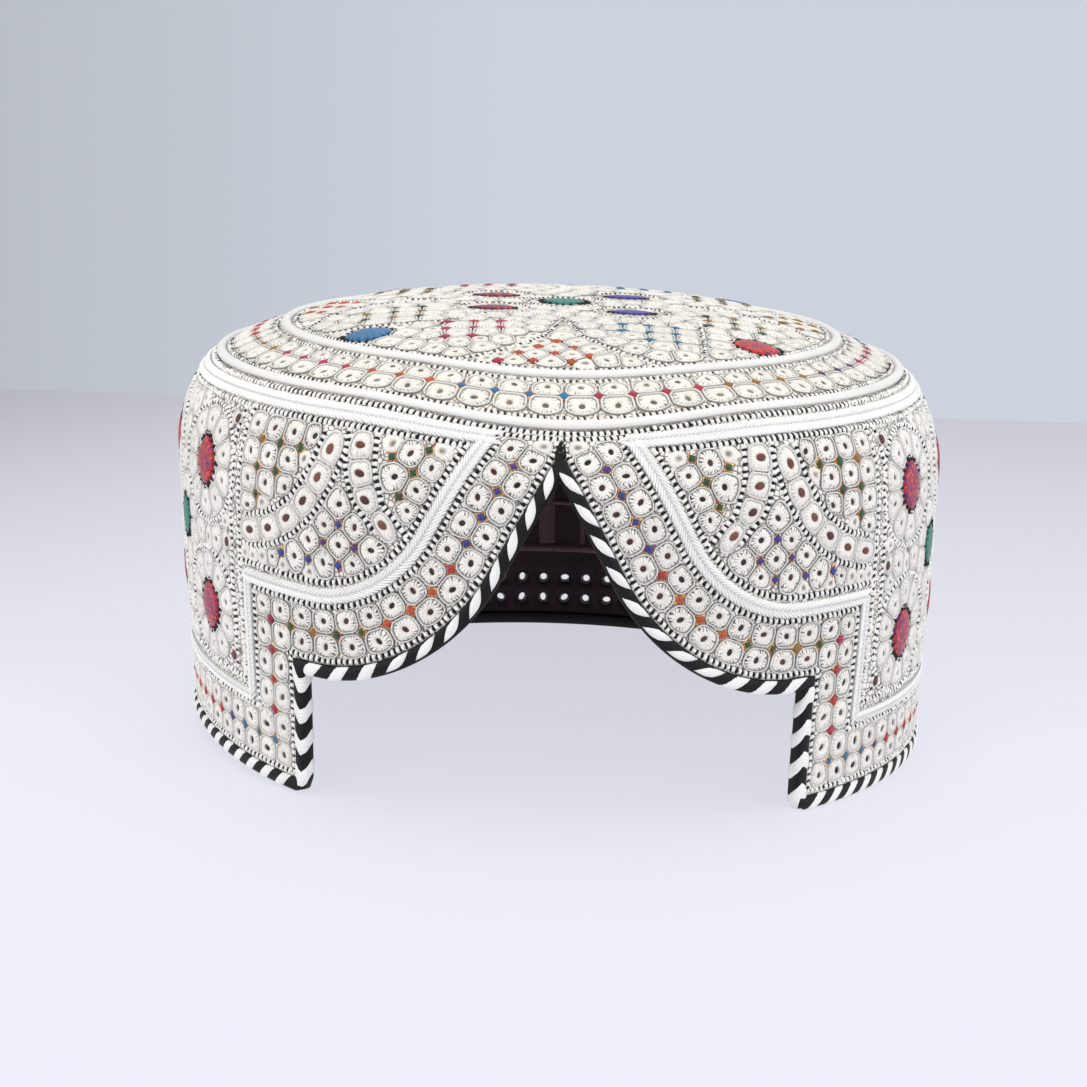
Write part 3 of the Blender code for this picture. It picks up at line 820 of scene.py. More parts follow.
# the front panel: a quarter grid in its outer corner, two arcs of ladders round mirrorwork, and two lattices
front = {
    "cornerU": deg(50.2), "cornerS": 88.0 * mm, "outerU": deg(50),
    "gridAcross": 6.6 * mm, "gridUp": 6.35 * mm, "gridReach": 23.6 * mm, "gridInset": (2.6 * mm, 3.6 * mm),
    "arcs": (24.9 * mm, 32.2 * mm), "arcMirrors": 28.5 * mm,
    "mirrorWay": ((28.9, 88.0), (28.2, 79.5), (26.6, 72.0), (22.8, 65.5)), "mirrorHalf": 3.9 * mm,
    "latticeU": deg(30.8), "latticeS": 61.2 * mm, "latticeStep": (4.25, 4.6),
    "slopeInset": 25.6, "slopeStep": 6.4,
}
cornerU, cornerS = front["cornerU"], front["cornerS"]
for i in range(4):
    for j in range(4):
        u = cornerU - front["gridInset"][0] - i * front["gridAcross"]
        s = cornerS - front["gridInset"][1] - j * front["gridUp"]
        if math.hypot(u - cornerU, s - cornerS) < front["gridReach"]:
            addEyelet(u, s, 3.05 * mm, 1.02)
        u, s = u - front["gridAcross"] / 2, s - front["gridUp"] / 2
        if i < 3 and math.hypot(u - cornerU, s - cornerS) < front["gridReach"] - 1.2 * mm:
            addStar(u, s, "green" if (i + j) % 3 else "gold")
for radius in front["arcs"]:
    arc = circleLine(cornerU, cornerS, radius, 180, 270)
    addLadder(arc[(arc[:, 1] < panelTop - mm) & (arc[:, 0] < front["outerU"])])
for k in range(6):
    a = math.radians(180 + 12 + k * 14)
    u, s = cornerU + front["arcMirrors"] * math.cos(a), cornerS + front["arcMirrors"] * math.sin(a)
    addEyelet(u, s, 3.1 * mm, 0.98, a, pears)
mirrorWay = np.array([(deg(angle), s * mm) for angle, s in front["mirrorWay"]])
for k in range(4):
    u, s = (np.interp((k + 0.62) / 4, np.linspace(0, 1, 4), mirrorWay[:, c]) for c in (0, 1))
    addEyelet(u, s, 3.1 * mm, 1.0, math.radians(90 + 12 * k), pears)
for side in (-1, 1):
    line = mirrorWay + np.array([side * front["mirrorHalf"], 0])
    addLadder(below(resample(line, 1 * mm)[0], panelTop - mm))


def freeAt(u, s, radius):
    return all(math.hypot(u - a, s - b) > radius + c for a, b, c in blocked)


def latticeAt(i, j):  # a slanting lattice's crossing; its stars stand half a step on
    stepU, stepS = front["latticeStep"]
    return front["latticeU"] + (i + j) * stepU * mm, front["latticeS"] + (i - j) * stepS * mm


lattice = [(i, j) for i in range(-8, 9) for j in range(-8, 9)]
for i, j in lattice:
    u, s = latticeAt(i, j)
    if 24 * mm < u < front["outerU"] and 50 * mm < s < 72 * mm and freeAt(u, s, 2.55 * mm):
        addEyelet(u, s)
for i, j in lattice:
    u, s = latticeAt(i + 0.5, j + 0.5)
    if 24 * mm < u < deg(48) and 50 * mm < s < 71 * mm and freeAt(u, s, 0.9 * mm):
        addStar(u, s, "blue" if (i - j) % 2 else "purple")
step = front["slopeStep"]
for k in range(6):
    for m in range(3):
        t, inset = firstStar - 2.0 * mm + k * step * mm, front["slopeInset"] + step * m
        u, s = edgeAt(t, inset * mm)
        if s < 84.9 * mm and freeAt(u, s, 2.6 * mm):
            addEyelet(u, s, 3.05 * mm, 1.0, turnAt(t))
        u, s = edgeAt(t + step / 2 * mm, (front["slopeInset"] + step / 2 + step * m) * mm)
        if s < 86 * mm and freeAt(u, s, 0.95 * mm):
            addStar(u, s, "green", turnAt(t))

# the side and back panels: four silk medallions round a fifth, each in a ring of eyelets and a ladder
panel = {
    "first": 51.0, "width": 43.0, "count": 3, "bottom": 24.3 * mm,
    "firstEdge": deg(50.9), "nearEdge": 2.1, "farEdge": 1.1, "backEdge": 1.3,
    "aside": 18.4 * mm, "rows": (71.8 * mm, 36.0 * mm), "radius": 5.6 * mm, "clear": (6.4 * mm, 5.9 * mm),
    "middle": 54.2 * mm, "middleRadius": 4.8 * mm, "middleClear": (5.8 * mm, 5.4 * mm),
    "petals": 10, "petalReach": 10.0 * mm, "ringReach": 14.4 * mm,
    "pears": ((31.2 * mm, 84.2 * mm, 2.2 * mm), (31.2 * mm, 26.9 * mm, 2.2 * mm),
        (30.6 * mm, 54.6 * mm, 2.9 * mm)),
}
addLadder([(panel["firstEdge"], panel["bottom"]), (panel["firstEdge"], panelTop)])
for k in range(panel["count"]):
    left = panel["first"] + k * panel["width"]
    middle = deg(left + panel["width"] / 2)
    farEdge = panel["farEdge" if k < panel["count"] - 1 else "backEdge"]
    for edge in (left + panel["nearEdge"], left + panel["width"] - farEdge):
        addLadder([(deg(edge), panel["bottom"]), (deg(edge), panelTop - mm)])
    for side in (-1, 1):
        for s in panel["rows"]:
            u = middle + side * panel["aside"]
            isMagenta = (k + (side > 0)) % 2 == 0 or s < panel["middle"]
            medallions.append((u, s, panel["radius"], "magenta" if isMagenta else "red"))
            keepClear(u, s, *panel["clear"])
            for n in range(panel["petals"]):
                a = 2 * math.pi * (n + 0.5) / panel["petals"]
                x, y = panel["petalReach"] * math.cos(a), panel["petalReach"] * math.sin(a)
                addEyelet(u + x, s + y, 2.7 * mm, 1.12, a - math.pi / 2)
            addLadder(circleLine(u, s, panel["ringReach"])[:-1], closed=True)
        for aside, s, radius in panel["pears"]:
            addEyelet(middle + side * aside, s, radius, 1.1, 0, pears)
    medallions.append((middle, panel["middle"], panel["middleRadius"], "tealSilk"))
    keepClear(middle, panel["middle"], *panel["middleClear"])

# the bands of ladders over the panels, and the two rows of beads over the point of the arch
over = {
    "beads": (94.15 * mm, 92.35 * mm), "shortRow": deg(9.6), "braidStart": deg(9.5), "braid": 91.1 * mm,
    "pointKnot": (3.9 * mm, 89.6 * mm),
}
bandTop = float(np.interp(-panelTop, -bandLine[:flapIndex, 1], bandLine[:flapIndex, 0]))
addLadder([(bandTop + 3.2 * mm, panelTop), (backU, panelTop)])
addLadder([(0, over["beads"][0]), (backU, over["beads"][0])])
addLadder([(0, over["beads"][1]), (over["shortRow"], over["beads"][1])])
for u in np.arange(over["braidStart"], backU, 1 * mm):
    keepClear(u, over["braid"], 2.2 * mm, 2.1 * mm)
knots.append((*over["pointKnot"], 1.8 * mm, 1.0, 0.0))
blocked.append((*over["pointKnot"], 1.8 * mm))
for s in np.arange(82.5, 91.5, 1):
    keepClear(0, s * mm, 1.8 * mm, 1.6 * mm)
print("scene: wall layout made,", len(eyelets) + len(openEyelets), "eyelets on a half")

# ---- the crown's layout, seen from above, right half ----

crown = {  # circles and places in millimetres from the middle of the crown; a quarter's are turned in fours
    "ringCount": 62, "outer": 78.6, "starR": 75.5, "inner": 72.7, "ladders": (81.7, 70.3, 65.6),
    "rings": ((83.5, 1.1), (68.0, 1.2)), "field": 64.6,
    "arch": ((0.6, -31), (4, -45.5), (8.4, -51.5), (14, -56.5), (20.4, -59.8), (26, -61.0)),
    "ray": ((32.6, -54.5), (32.6, -40), (32.6, -26)),
    "point": ((-1.5, -51), (-5.7, -54.6), (2.5, -54.8), (-10.1, -58.2), (-1.9, -58.4), (6.0, -59),
        (-6.7, -62.2),
              (1.9, -62.2)),
    "leftGroup": (-21, -41), "rightGroup": (20, -40.5), "groupStep": (6.2, 6.4),
    "corners": ((45.2, -40.4), (39.4, -45.2)),  # the medallions of the even and the odd quarters
}
ringColours = (  # the ring's stars by the angle they reach up to, from the left round the front to the right
    (-160, "teal"), (-140, "magenta"), (-120, "gold"), (-100, "purple"), (-80, "red"), (-61, "gold"),
    (-40, "magenta"),
    (-19.5, "orange"), (2.8, "teal"), (25.5, "magenta"), (47, "gold"), (68, "purple"), (88, "magenta"),
    (108, "teal"),
    (128, "orange"), (146, "gold"), (164, "magenta"), (181, "teal"),
)
for k in range(crown["ringCount"]):
    a = 2 * math.pi * (k + 0.05) / crown["ringCount"] - math.pi
    for r, size in ((crown["outer"], 3.15), (crown["inner"], 2.75)):
        b = a + math.pi / crown["ringCount"]
        crownEyelets.append((r * mm * math.sin(b), -r * mm * math.cos(b), size * mm, 0.95, b))
    name = next(colour for reach, colour in ringColours if math.degrees(a) < reach)
    crownStars.append((crown["starR"] * mm * math.sin(a), -crown["starR"] * mm * math.cos(a), 1.0, a, name))


def planCircle(x, y, radius):
    return circleLine(x * mm, y * mm, radius * mm)[:-1]


def addCrownLadder(points, closed=False, size=0.75):
    crownLadders.append((np.asarray(points), closed, size))
    for x, y in resample(points, 1.0 * mm, closed)[0]:
        crownBlocked.append((x, y, 0.6 * mm))
        crownWalls.append((x, y, 0.5 * mm))


for r in crown["ladders"]:
    addCrownLadder(planCircle(0, 0, r), closed=True)
for r, half in crown["rings"]:
    crownWalls.extend((x, y, half * mm) for x, y in resample(planCircle(0, 0, r), 1.2 * mm, True)[0])


def addCrownStar(x, y, name):
    crownStars.append((x * mm, y * mm, 1.0, rng.uniform(-0.15, 0.15), name))
    crownBlocked.append((x * mm, y * mm, 1.15 * mm))


def addCrownMedallion(x, y, name, radius=4.7):
    crownMedallions.append((x * mm, y * mm, radius * mm, name))
    crownBlocked.append((x * mm, y * mm, (radius + 1.1) * mm))
    crownWalls.append((x * mm, y * mm, (radius + 0.5) * mm))


quarters = (  # turn, pointed group, group on its left, group on its right, medallion in its right corner
    (0, "orange", "magenta", "teal", "redSilk"), (1, "gold", "gold", "gold", "blueSilk"),
    (2, "magenta", "teal", "magenta", "redSilk"), (3, "orange", "gold", "gold", "blueSilk"),
)
for quarter, pointed, onLeft, onRight, silkName in quarters:
    cosT, sinT = math.cos(quarter * math.pi / 2), math.sin(quarter * math.pi / 2)

    def put(x, y):
        return x * cosT - y * sinT, x * sinT + y * cosT

    for side in (-1, 1):
        addCrownLadder(np.array([put(side * x, y) for x, y in crown["arch"]]) * mm)
    addCrownLadder(np.array([put(x, y) for x, y in crown["ray"]]) * mm)
    for x, y in crown["point"]:
        addCrownStar(*put(x, y), pointed)
    if quarter == 0:
        addCrownStar(-14.6, -62.2, "magenta")
    for i in (-1, 0, 1):
        for j in (-1, 0, 1):
            for group, colour, missing in (("leftGroup", onLeft, (1, -1)), ("rightGroup", onRight, (-1, -1))):
                if (i, j) != missing:
                    x, y = (crown[group][c] + crown["groupStep"][c] * step for c, step in enumerate((i, j)))
                    addCrownStar(*put(x, y), ("green", "gold")[(i + j) % 2] if colour == "gold" else colour)
    addCrownMedallion(*put(*crown["corners"][quarter % 2]), silkName)
for x, y, name in (
    (-17, -13.5, "maroonSilk"), (-17, 10.5, "maroonSilk"), (16.5, -15.5, "purpleSilk"),
    (16, 13.6, "purpleSilk"),
    (0, 0, "tealSilk"),
):
    addCrownMedallion(x, y, name, 4.5)
    addCrownLadder(planCircle(x, y, 9.0), closed=True, size=0.7)
print("scene: crown layout made")

# ---- filling: every place that is still bare takes the largest knot that fits ----

filling = {
    "step": 0.6 * mm, "largest": 3.05 * mm, "smallest": 1.4 * mm, "edge": 5.3 * mm,
    "wallEyelet": 1.85 * mm, "crownEyelet": 2.0 * mm,  # what is larger than these becomes an eyelet
}


def fillPlaces(lowX, highX, lowY, highY, inside, blockers, mirrors=True):
    step = filling["step"]
    xs, ys = np.arange(lowX, highX, step), np.arange(lowY, highY, step)
    gridX, gridY = np.meshgrid(xs, ys, indexing="ij")
    room = np.where(inside(gridX, gridY), filling["largest"], -1.0)

    def shut(x, y, radius):
        reach = radius + filling["largest"]
        i0, i1 = (int(np.clip((x + d - lowX) / step + 0.5, 0, len(xs))) for d in (-reach, reach))
        j0, j1 = (int(np.clip((y + d - lowY) / step + 0.5, 0, len(ys))) for d in (-reach, reach))
        away = np.hypot(gridX[i0:i1, j0:j1] - x, gridY[i0:i1, j0:j1] - y) - radius
        room[i0:i1, j0:j1] = np.minimum(room[i0:i1, j0:j1], away)

    for x, y, radius in blockers:
        shut(x, y, radius)
    found = []
    while True:
        best = int(np.argmax(room))
        size = room.flat[best]
        if size < filling["smallest"]:
            return found
        x, y = gridX.flat[best], gridY.flat[best]
        if mirrors and 0.3 * mm < abs(x) < size:
            size = max(abs(x), filling["smallest"])
        found.append((x, y, size * 0.98))
        shut(x, y, size * 0.98)


archPart = edgeLine(filling["edge"])[: flapIndex + 1]


def onWall(u, s):
    low = np.interp(u, archPart[:, 0], archPart[:, 1])
    return np.where(u < archPart[-1, 0], s > low, s > filling["edge"]) & (s < panelTop - 0.6 * mm)


def onCrown(x, y):
    return np.hypot(x, y) < crown["field"] * mm


for u, s, radius in fillPlaces(0, backU, 4 * mm, 88 * mm, onWall, blocked):
    (eyelets if radius > filling["wallEyelet"] else knots).append((u, s, radius, 1.0, rng.uniform(0, 3.1)))
for x, y, radius in fillPlaces(-67 * mm, 67 * mm, -67 * mm, 67 * mm, onCrown, crownBlocked, False):
    target = crownEyelets if radius > filling["crownEyelet"] else crownKnots
    target.append((x, y, radius, 1.0, rng.uniform(0, 3.1)))

# the outline of every cell swells until it meets its neighbours, so that the cells tile like cobbles

fitting = {"directions": 32, "gap": 0.16 * mm, "swell": 1.5, "softness": 16, "near": 10 * mm}


def bothSides(rows):
    rows = np.asarray([tuple(row)[:3] for row in rows], float)
    other = rows[np.abs(rows[:, 0]) > 0.3 * mm] * np.array([-1, 1, 1])
    return np.concatenate([rows, other])


def fitOutlines(lists, walls, plan):  # how far each cell's outline stands out in each direction, list by list
    counts = [len(part) for part in lists]
    cells = np.concatenate([np.asarray(part, float)[:, :3] for part in lists])
    spots = np.concatenate([cells, np.asarray(walls, float)])
    isCell = np.arange(len(spots)) < len(cells)
    if not plan:  # the cells on either side of the back seam meet too
        for side in (-1, 1):
            over = spots[:, 0] * side > backU - fitting["near"]
            spots = np.concatenate([spots, spots[over] - np.array([side * 2 * backU, 0, 0])])
            isCell = np.concatenate([isCell, isCell[over]])
    ways = 2 * math.pi * np.arange(fitting["directions"]) / fitting["directions"]
    table = np.empty((len(cells), len(ways)))
    for k, (x, y, radius) in enumerate(cells):
        squeeze = 1 if plan else np.interp(y, sectionS, sectionR) / patternR
        dx, dy = (spots[:, 0] - x) * squeeze, spots[:, 1] - y
        away = np.hypot(dx, dy)
        near = (away < fitting["near"]) & (away > 0.2 * mm)
        dx, dy, away, other, soft = dx[near], dy[near], away[near], spots[near, 2], isCell[near]
        edge = np.where(soft, away * radius / (radius + other), away - other) - fitting["gap"] / 2
        facing = np.cos(ways[:, None] - np.arctan2(dy, dx)[None, :])
        limit = np.where(facing > 0.15, edge / np.maximum(facing, 0.15), 1.0) / radius
        hard = np.where(soft, 9.0, limit).min(1)
        power = -fitting["softness"]
        total = (np.where(soft, limit, 9.0) ** power).sum(1)
        total = total + np.maximum(hard, 0.3) ** power + fitting["swell"] ** power
        table[k] = radius * np.clip(total ** (1 / power), 0.6, None)
    return np.split(table, np.cumsum(counts)[:-1])


print("scene: filling made,", len(knots), "knots on the wall,", len(crownKnots), "on the crown, halves")

# ---- base cloth and linings ----

sheet = {
    "edge": 1.1 * mm, "holeInWall": 1.2 * mm, "holeInLining": 1.5 * mm, "rowsAbove": 14,
    "columnsPerEyelet": 5,
    "rows": (1.1, 2.6, 4.1, 5.61, 6.97, 8.33, 9.69, 10.65, 11.61, 12.97, 14.33, 15.69, 17.6, 21.8, 26.0,
        30.3),
    "holeRows": ((layout["rowA"], 2), (layout["rowB"], 7)),  # the row below each hole's block of four
}


def wallSheet(name, outer, thickness, hole, material):
    per, tiles = sheet["columnsPerEyelet"], layout["rimTiles"]
    edge = edgeLine(sheet["edge"])[: flapIndex + 1]
    columns, flapU = list(edge[::6, 0]), archForm["halfWidth"] + sheet["edge"]
    if flapU - columns[-1] > 0.2 * mm:
        columns.append(flapU)
    archCount = len(columns)
    starU = guide[footIndex, 0]
    columns += list(np.linspace(flapU, starU, per)[1:])
    tiled = len(columns) - 1
    columns = np.array(columns + list(np.linspace(starU, backU, tiles * per + 1)[1:]))
    low = list(np.array(sheet["rows"]) * mm)
    shoulder = len(low) - 1
    share = 1 - (1 - np.linspace(0, 1, sheet["rowsAbove"] + 1)[1:]) ** 1.5
    full = np.concatenate([-columns[:0:-1], columns])
    points = np.empty((len(full), len(low) + sheet["rowsAbove"], 2))
    for k, u in enumerate(full):
        start = np.interp(abs(u), edge[:, 0], edge[:, 1]) if abs(u) < flapU - 0.01 * mm else low[-1]
        points[k, :, 0] = u
        points[k, :, 1] = np.concatenate([low[:-1], [start], start + (seamS - 0.05 * mm - start) * share])
    middle = len(columns) - 1
    gridPoints = points.copy()
    dropCell = np.zeros((len(full) - 1, points.shape[1] - 1), bool)
    dropCell[middle - archCount + 1 : middle + archCount - 1, :shoulder] = True
    for n in range(tiles):  # the four columns and rows round each pinhole are moved on to a circle
        first = tiled + n * per
        for centreS, row in sheet["holeRows"]:
            for k in (middle + first + 1, middle - (first + per - 1)):
                block = gridPoints[k : k + per - 1, row + 1 : row + 5]
                centreU = block[:, :, 0].mean()
                dropCell[k : k + per - 2, row + 1 : row + 4] = True
                dx, dy = block[:, :, 0] - centreU, block[:, :, 1] - centreS
                length = np.hypot(dx, dy)
                points[k : k + per - 1, row + 1 : row + 5, 0] = centreU + dx / length * hole
                points[k : k + per - 1, row + 1 : row + 5, 1] = centreS + dy / length * hole
    piece = sheetMesh(name, wrapPoints(points[:, :, 0], points[:, :, 1], outer), material)
    bpy.ops.object.mode_set(mode="EDIT")
    bpy.ops.mesh.select_mode(type="FACE")
    bpy.ops.mesh.select_all(action="DESELECT")
    bpy.ops.object.mode_set(mode="OBJECT")
    for face in piece.data.polygons:
        row, column = divmod(face.index, len(full) - 1)
        face.select = bool(dropCell[column, row])
    bpy.ops.object.mode_set(mode="EDIT")
    bpy.ops.mesh.delete(type="FACE")
    bpy.ops.mesh.select_mode(type="VERT")
    bpy.ops.mesh.select_all(action="SELECT")
    bpy.ops.mesh.remove_doubles(threshold=0.000002)
    bpy.ops.object.mode_set(mode="OBJECT")
    return thicken(piece, thickness)


def crownSheet(name, outer, thickness, material):
    angles = np.linspace(-backU, backU, 121)
    radii = np.linspace(0, 1, 25) ** 0.85
    s = np.interp(capForm["seamRadius"] * radii, *crownCircle)[::-1].copy()
    s[0] = seamS + 0.3 * mm
    co = wrapPoints(angles[:, None], s[None, :], outer)
    return thicken(sheetMesh(name, co, material, closeAlong=True), thickness)


form = capForm
liningOuter = -form["wall"] - form["gap"]
cloth = wallSheet("wallCloth", 0.0, form["wall"] * 0.75, sheet["holeInWall"], paint["groundCloth"])
finishPiece(cloth, "wall_embroidery", "side_wall")
cloth = wallSheet("sideLining", liningOuter, form["lining"], sheet["holeInLining"], paint["darkLining"])
finishPiece(cloth, "side_lining_cloth", "side_lining")
cloth = crownSheet("crownCloth", 0.0, form["wall"] * 0.9, paint["crownGroundCloth"])
finishPiece(cloth, "crown_embroidery", "crown_top")
cloth = crownSheet("crownLining", liningOuter, form["lining"], paint["darkLining"])
finishPiece(cloth, "crown_lining_cloth", "crown_lining")

folds = {  # low folds on the inner face of the lining: where each lies, its width and its rise
    "profile": ((-0.5, -0.1), (-0.3, 0.7), (0, 1.0), (0.3, 0.7), (0.5, -0.1)), "low": 24 * mm,
    "high": 93 * mm,
    "upright": ((166, 3.2, 1.0), (175, 1.6, 0.8), (181.5, 5.0, 1.1), (190, 2.2, 0.8), (199, 3.6, 1.0)),
    "lean": 1.5,
    "level": ((22.5, 2.2, 0.7), (36, 1.4, 0.7)), "from": deg(70), "to": deg(290),
}


# each fold takes the lighter lining cloth, painted light on its rise
def liningFold(start, end, width, rise):
    base = -(form["wall"] + form["gap"] + form["lining"])
    return bandMesh("liningFold", [start, end], 2.0 * mm, folds["profile"], width * mm, base, -rise * mm,
        paint["litLiningFolds"])


made = [liningFold((deg(a), folds["low"]), (deg(a + folds["lean"]), folds["high"]), width, rise)
        for a, width, rise in folds["upright"]]
made += [liningFold((folds["from"], s * mm), (folds["to"], s * mm), width, rise) for s, width,
    rise in folds["level"]]
finishPiece(joinPieces("litLiningFolds", made), "side_lining_cloth")
print("scene: base cloth and linings made")

# ---- the small units, each modelled once ----

unitForms = {
    "cell": [(2.50, 0.02), (2.20, 0.36), (1.50, 0.58), (0.98, 0.52)],
    "closedHole": [(0.74, 0.20), (0.67, 0.10)],
    "openHole": [(0.90, 0.20), (0.88, -0.10), (1.10, -0.80), (1.38, -1.92)],
    "cord": [(3.00, -0.10), (2.86, 0.42), (2.66, 0.46), (2.48, 0.02)],
    "knot": [(3.00, -0.10), (2.70, 0.42), (1.70, 0.62), (0.70, 0.40), (0.45, 0.22)],
    "oval": [(0.98, 0.05), (0.86, 0.36), (0.45, 0.44)],
    "medallion": [(5.40, -0.10), (5.15, 0.50), (4.10, 0.76), (2.40, 0.90), (0.90, 0.95)],
}


def mirrored(rows):  # rows of u, s, two sizes and a turn, then their images on the left half
    return rows + [(-u, s, a, b, -turn) for u, s, a, b, turn in rows if abs(u) > 0.3 * mm]


def cellPlaces(rows, base, mirrors=True, stretch=(0.78, 1.25), turned=True):
    out = []
    for row in mirrored(rows) if mirrors else rows:
        size, light = row[2] / cellRadius, 1 + rng.uniform(-0.07, 0.04)
        turn = rng.uniform(0, math.pi) if turned else row[4]
        out.append([row[0], row[1], size, size * rng.uniform(*stretch), turn,
            0.0] + [c * light for c in base[:3]])
    return out


# marks the inner rings of a hole or dimple, where its painted shade goes
def holeDepth(co):
    reach = np.hypot(co[:, 0], co[:, 1])
    return ((reach < 0.71 * mm) | ((co[:, 2] < -0.02 * mm) & (reach < 1.9 * mm))).astype(float)


closedCell = readUnit(turnedUnit(unitForms["cell"] + unitForms["closedHole"], 24))
openCell = readUnit(turnedUnit(unitForms["cell"] + unitForms["openHole"], 24, close=False))
cordUnit = readUnit(turnedUnit(unitForms["cord"], 24, close=False))
knotUnit = readUnit(turnedUnit(unitForms["knot"], 12))
ovalUnit = readUnit(turnedUnit(unitForms["oval"], 12))
wallCells, openCells = cellPlaces(eyelets, ivory), cellPlaces(openEyelets, ivory)
pearCells, knotCells = cellPlaces(pears, ivory, stretch=(1.2, 1.4), turned=False), cellPlaces(knots, ivory)
crownCells, crownKnotCells = cellPlaces(crownEyelets, cream, False), cellPlaces(crownKnots, cream, False)
wallFit = fitOutlines([bothSides(part) for part in (eyelets, openEyelets, pears, knots)],
    bothSides(walls), False)
crownFit = fitOutlines([[row[:3] for row in part] for part in (crownEyelets, crownKnots)], crownWalls, True)
for label, rows, unit, fit in (
    ("wall", wallCells, closedCell, wallFit[0]), ("rim", openCells, openCell, wallFit[1]),
    ("mirror", pearCells, closedCell, wallFit[2]), ("crown", crownCells, closedCell, crownFit[0]),
):
    plan, contrast = label == "crown", 0.3 if label == "mirror" else None
    slotName = "crown_embroidery" if plan else "wall_embroidery"
    cellPaint, cordPaint = (paint[kind] for kind in (("crownEyelet", "crownCord") if plan else ("eyelet",
        "cord")))
    finishPiece(joinCopies(label + "Eyelets", unit, rows, cellPaint, plan, holeDepth, fit, contrast),
        slotName)
    cordRows = [row[:6] + [c * rng.uniform(0.97, 1.0) for c in snow[:3]] for row in rows]
    finishPiece(joinCopies(label + "Outlines", cordUnit, cordRows, cordPaint, plan, None, fit, contrast),
        slotName)
for label, rows, fit in (("wall", knotCells, wallFit[3]), ("crown", crownKnotCells, crownFit[1])):
    piece = joinCopies(label + "Knots", knotUnit, rows, paint["knot"], label == "crown", holeDepth, fit)
    finishPiece(piece, label + "_embroidery")
ovals = []
for u, s, _, _, turn in mirrored(pears):
    shade = rgb(*rng.choice([(128, 74, 54), (96, 42, 28), (112, 58, 42), (82, 34, 26)]))
    ovals.append([u, s, rng.uniform(0.86, 1.0), rng.uniform(1.1, 1.35), turn, 0.42 * mm] + list(shade[:3]))
finishPiece(joinCopies("mirrorCentres", ovalUnit, ovals, paint["oval"]), "wall_embroidery")
print("scene: eyelets made")

# ---- stars ----


def starUnit(tip, waist, height):
    clearSelection()
    bpy.ops.mesh.primitive_circle_add(vertices=8, radius=tip * mm, fill_type="NGON")
    piece = bpy.context.object
    for v in piece.data.vertices:
        if min(abs(v.co.x), abs(v.co.y)) > 0.1 * tip * mm:
            v.co *= waist / tip
    bpy.ops.object.mode_set(mode="EDIT")
    bpy.ops.mesh.select_all(action="SELECT")
    bpy.ops.mesh.extrude_region_move(TRANSFORM_OT_translate={"value": (0, 0, height * 0.7 * mm)})
    bpy.ops.transform.resize(value=(0.84, 0.84, 1), center_override=(0, 0, 0))
    bpy.ops.mesh.extrude_region_move(TRANSFORM_OT_translate={"value": (0, 0, height * 0.3 * mm)})
    bpy.ops.transform.resize(value=(0.35, 0.35, 1), center_override=(0, 0, 0))
    bpy.ops.object.mode_set(mode="OBJECT")
    return readUnit(piece)


goldStar, silkStar = starUnit(2.05, 0.86, 0.40), starUnit(1.25, 0.78, 0.58)
for label, rows in (("wall", stars), ("crown", crownStars)):
    plan = label == "crown"
    if not plan:
        rows = rows + [(-u, s, size, -turn, name) for u, s, size, turn, name in rows if abs(u) > 0.3 * mm]
    gold, silk = [], []
    for u, s, size, turn, name in rows:
        wide, tall = size * rng.uniform(0.9, 1.1), size * rng.uniform(0.9, 1.1)
        turn += rng.uniform(-0.12, 0.12)
        edged = not plan or math.hypot(u, s) > 65 * mm
        if edged:
            gold.append([u, s, wide, tall, turn, 0.0, 1, 1, 1])
        grow = rng.uniform(0.95, 1.1) * (1.0 if edged else 1.15) * (1.12 if name in ("red",
            "magenta") else 1.0)
        shade = [c * rng.uniform(0.8, 1.15) for c in threads[name][:3]]
        silk.append([u, s, wide * grow, tall * grow, turn, 0.05 * mm] + shade)
    finishPiece(joinCopies(label + "StarEdges", goldStar, gold, paint["gold"], plan), label + "_embroidery")
    finishPiece(joinCopies(label + "Stars", silkStar, silk, paint["star"], plan), label + "_embroidery")

# ---- medallions ----

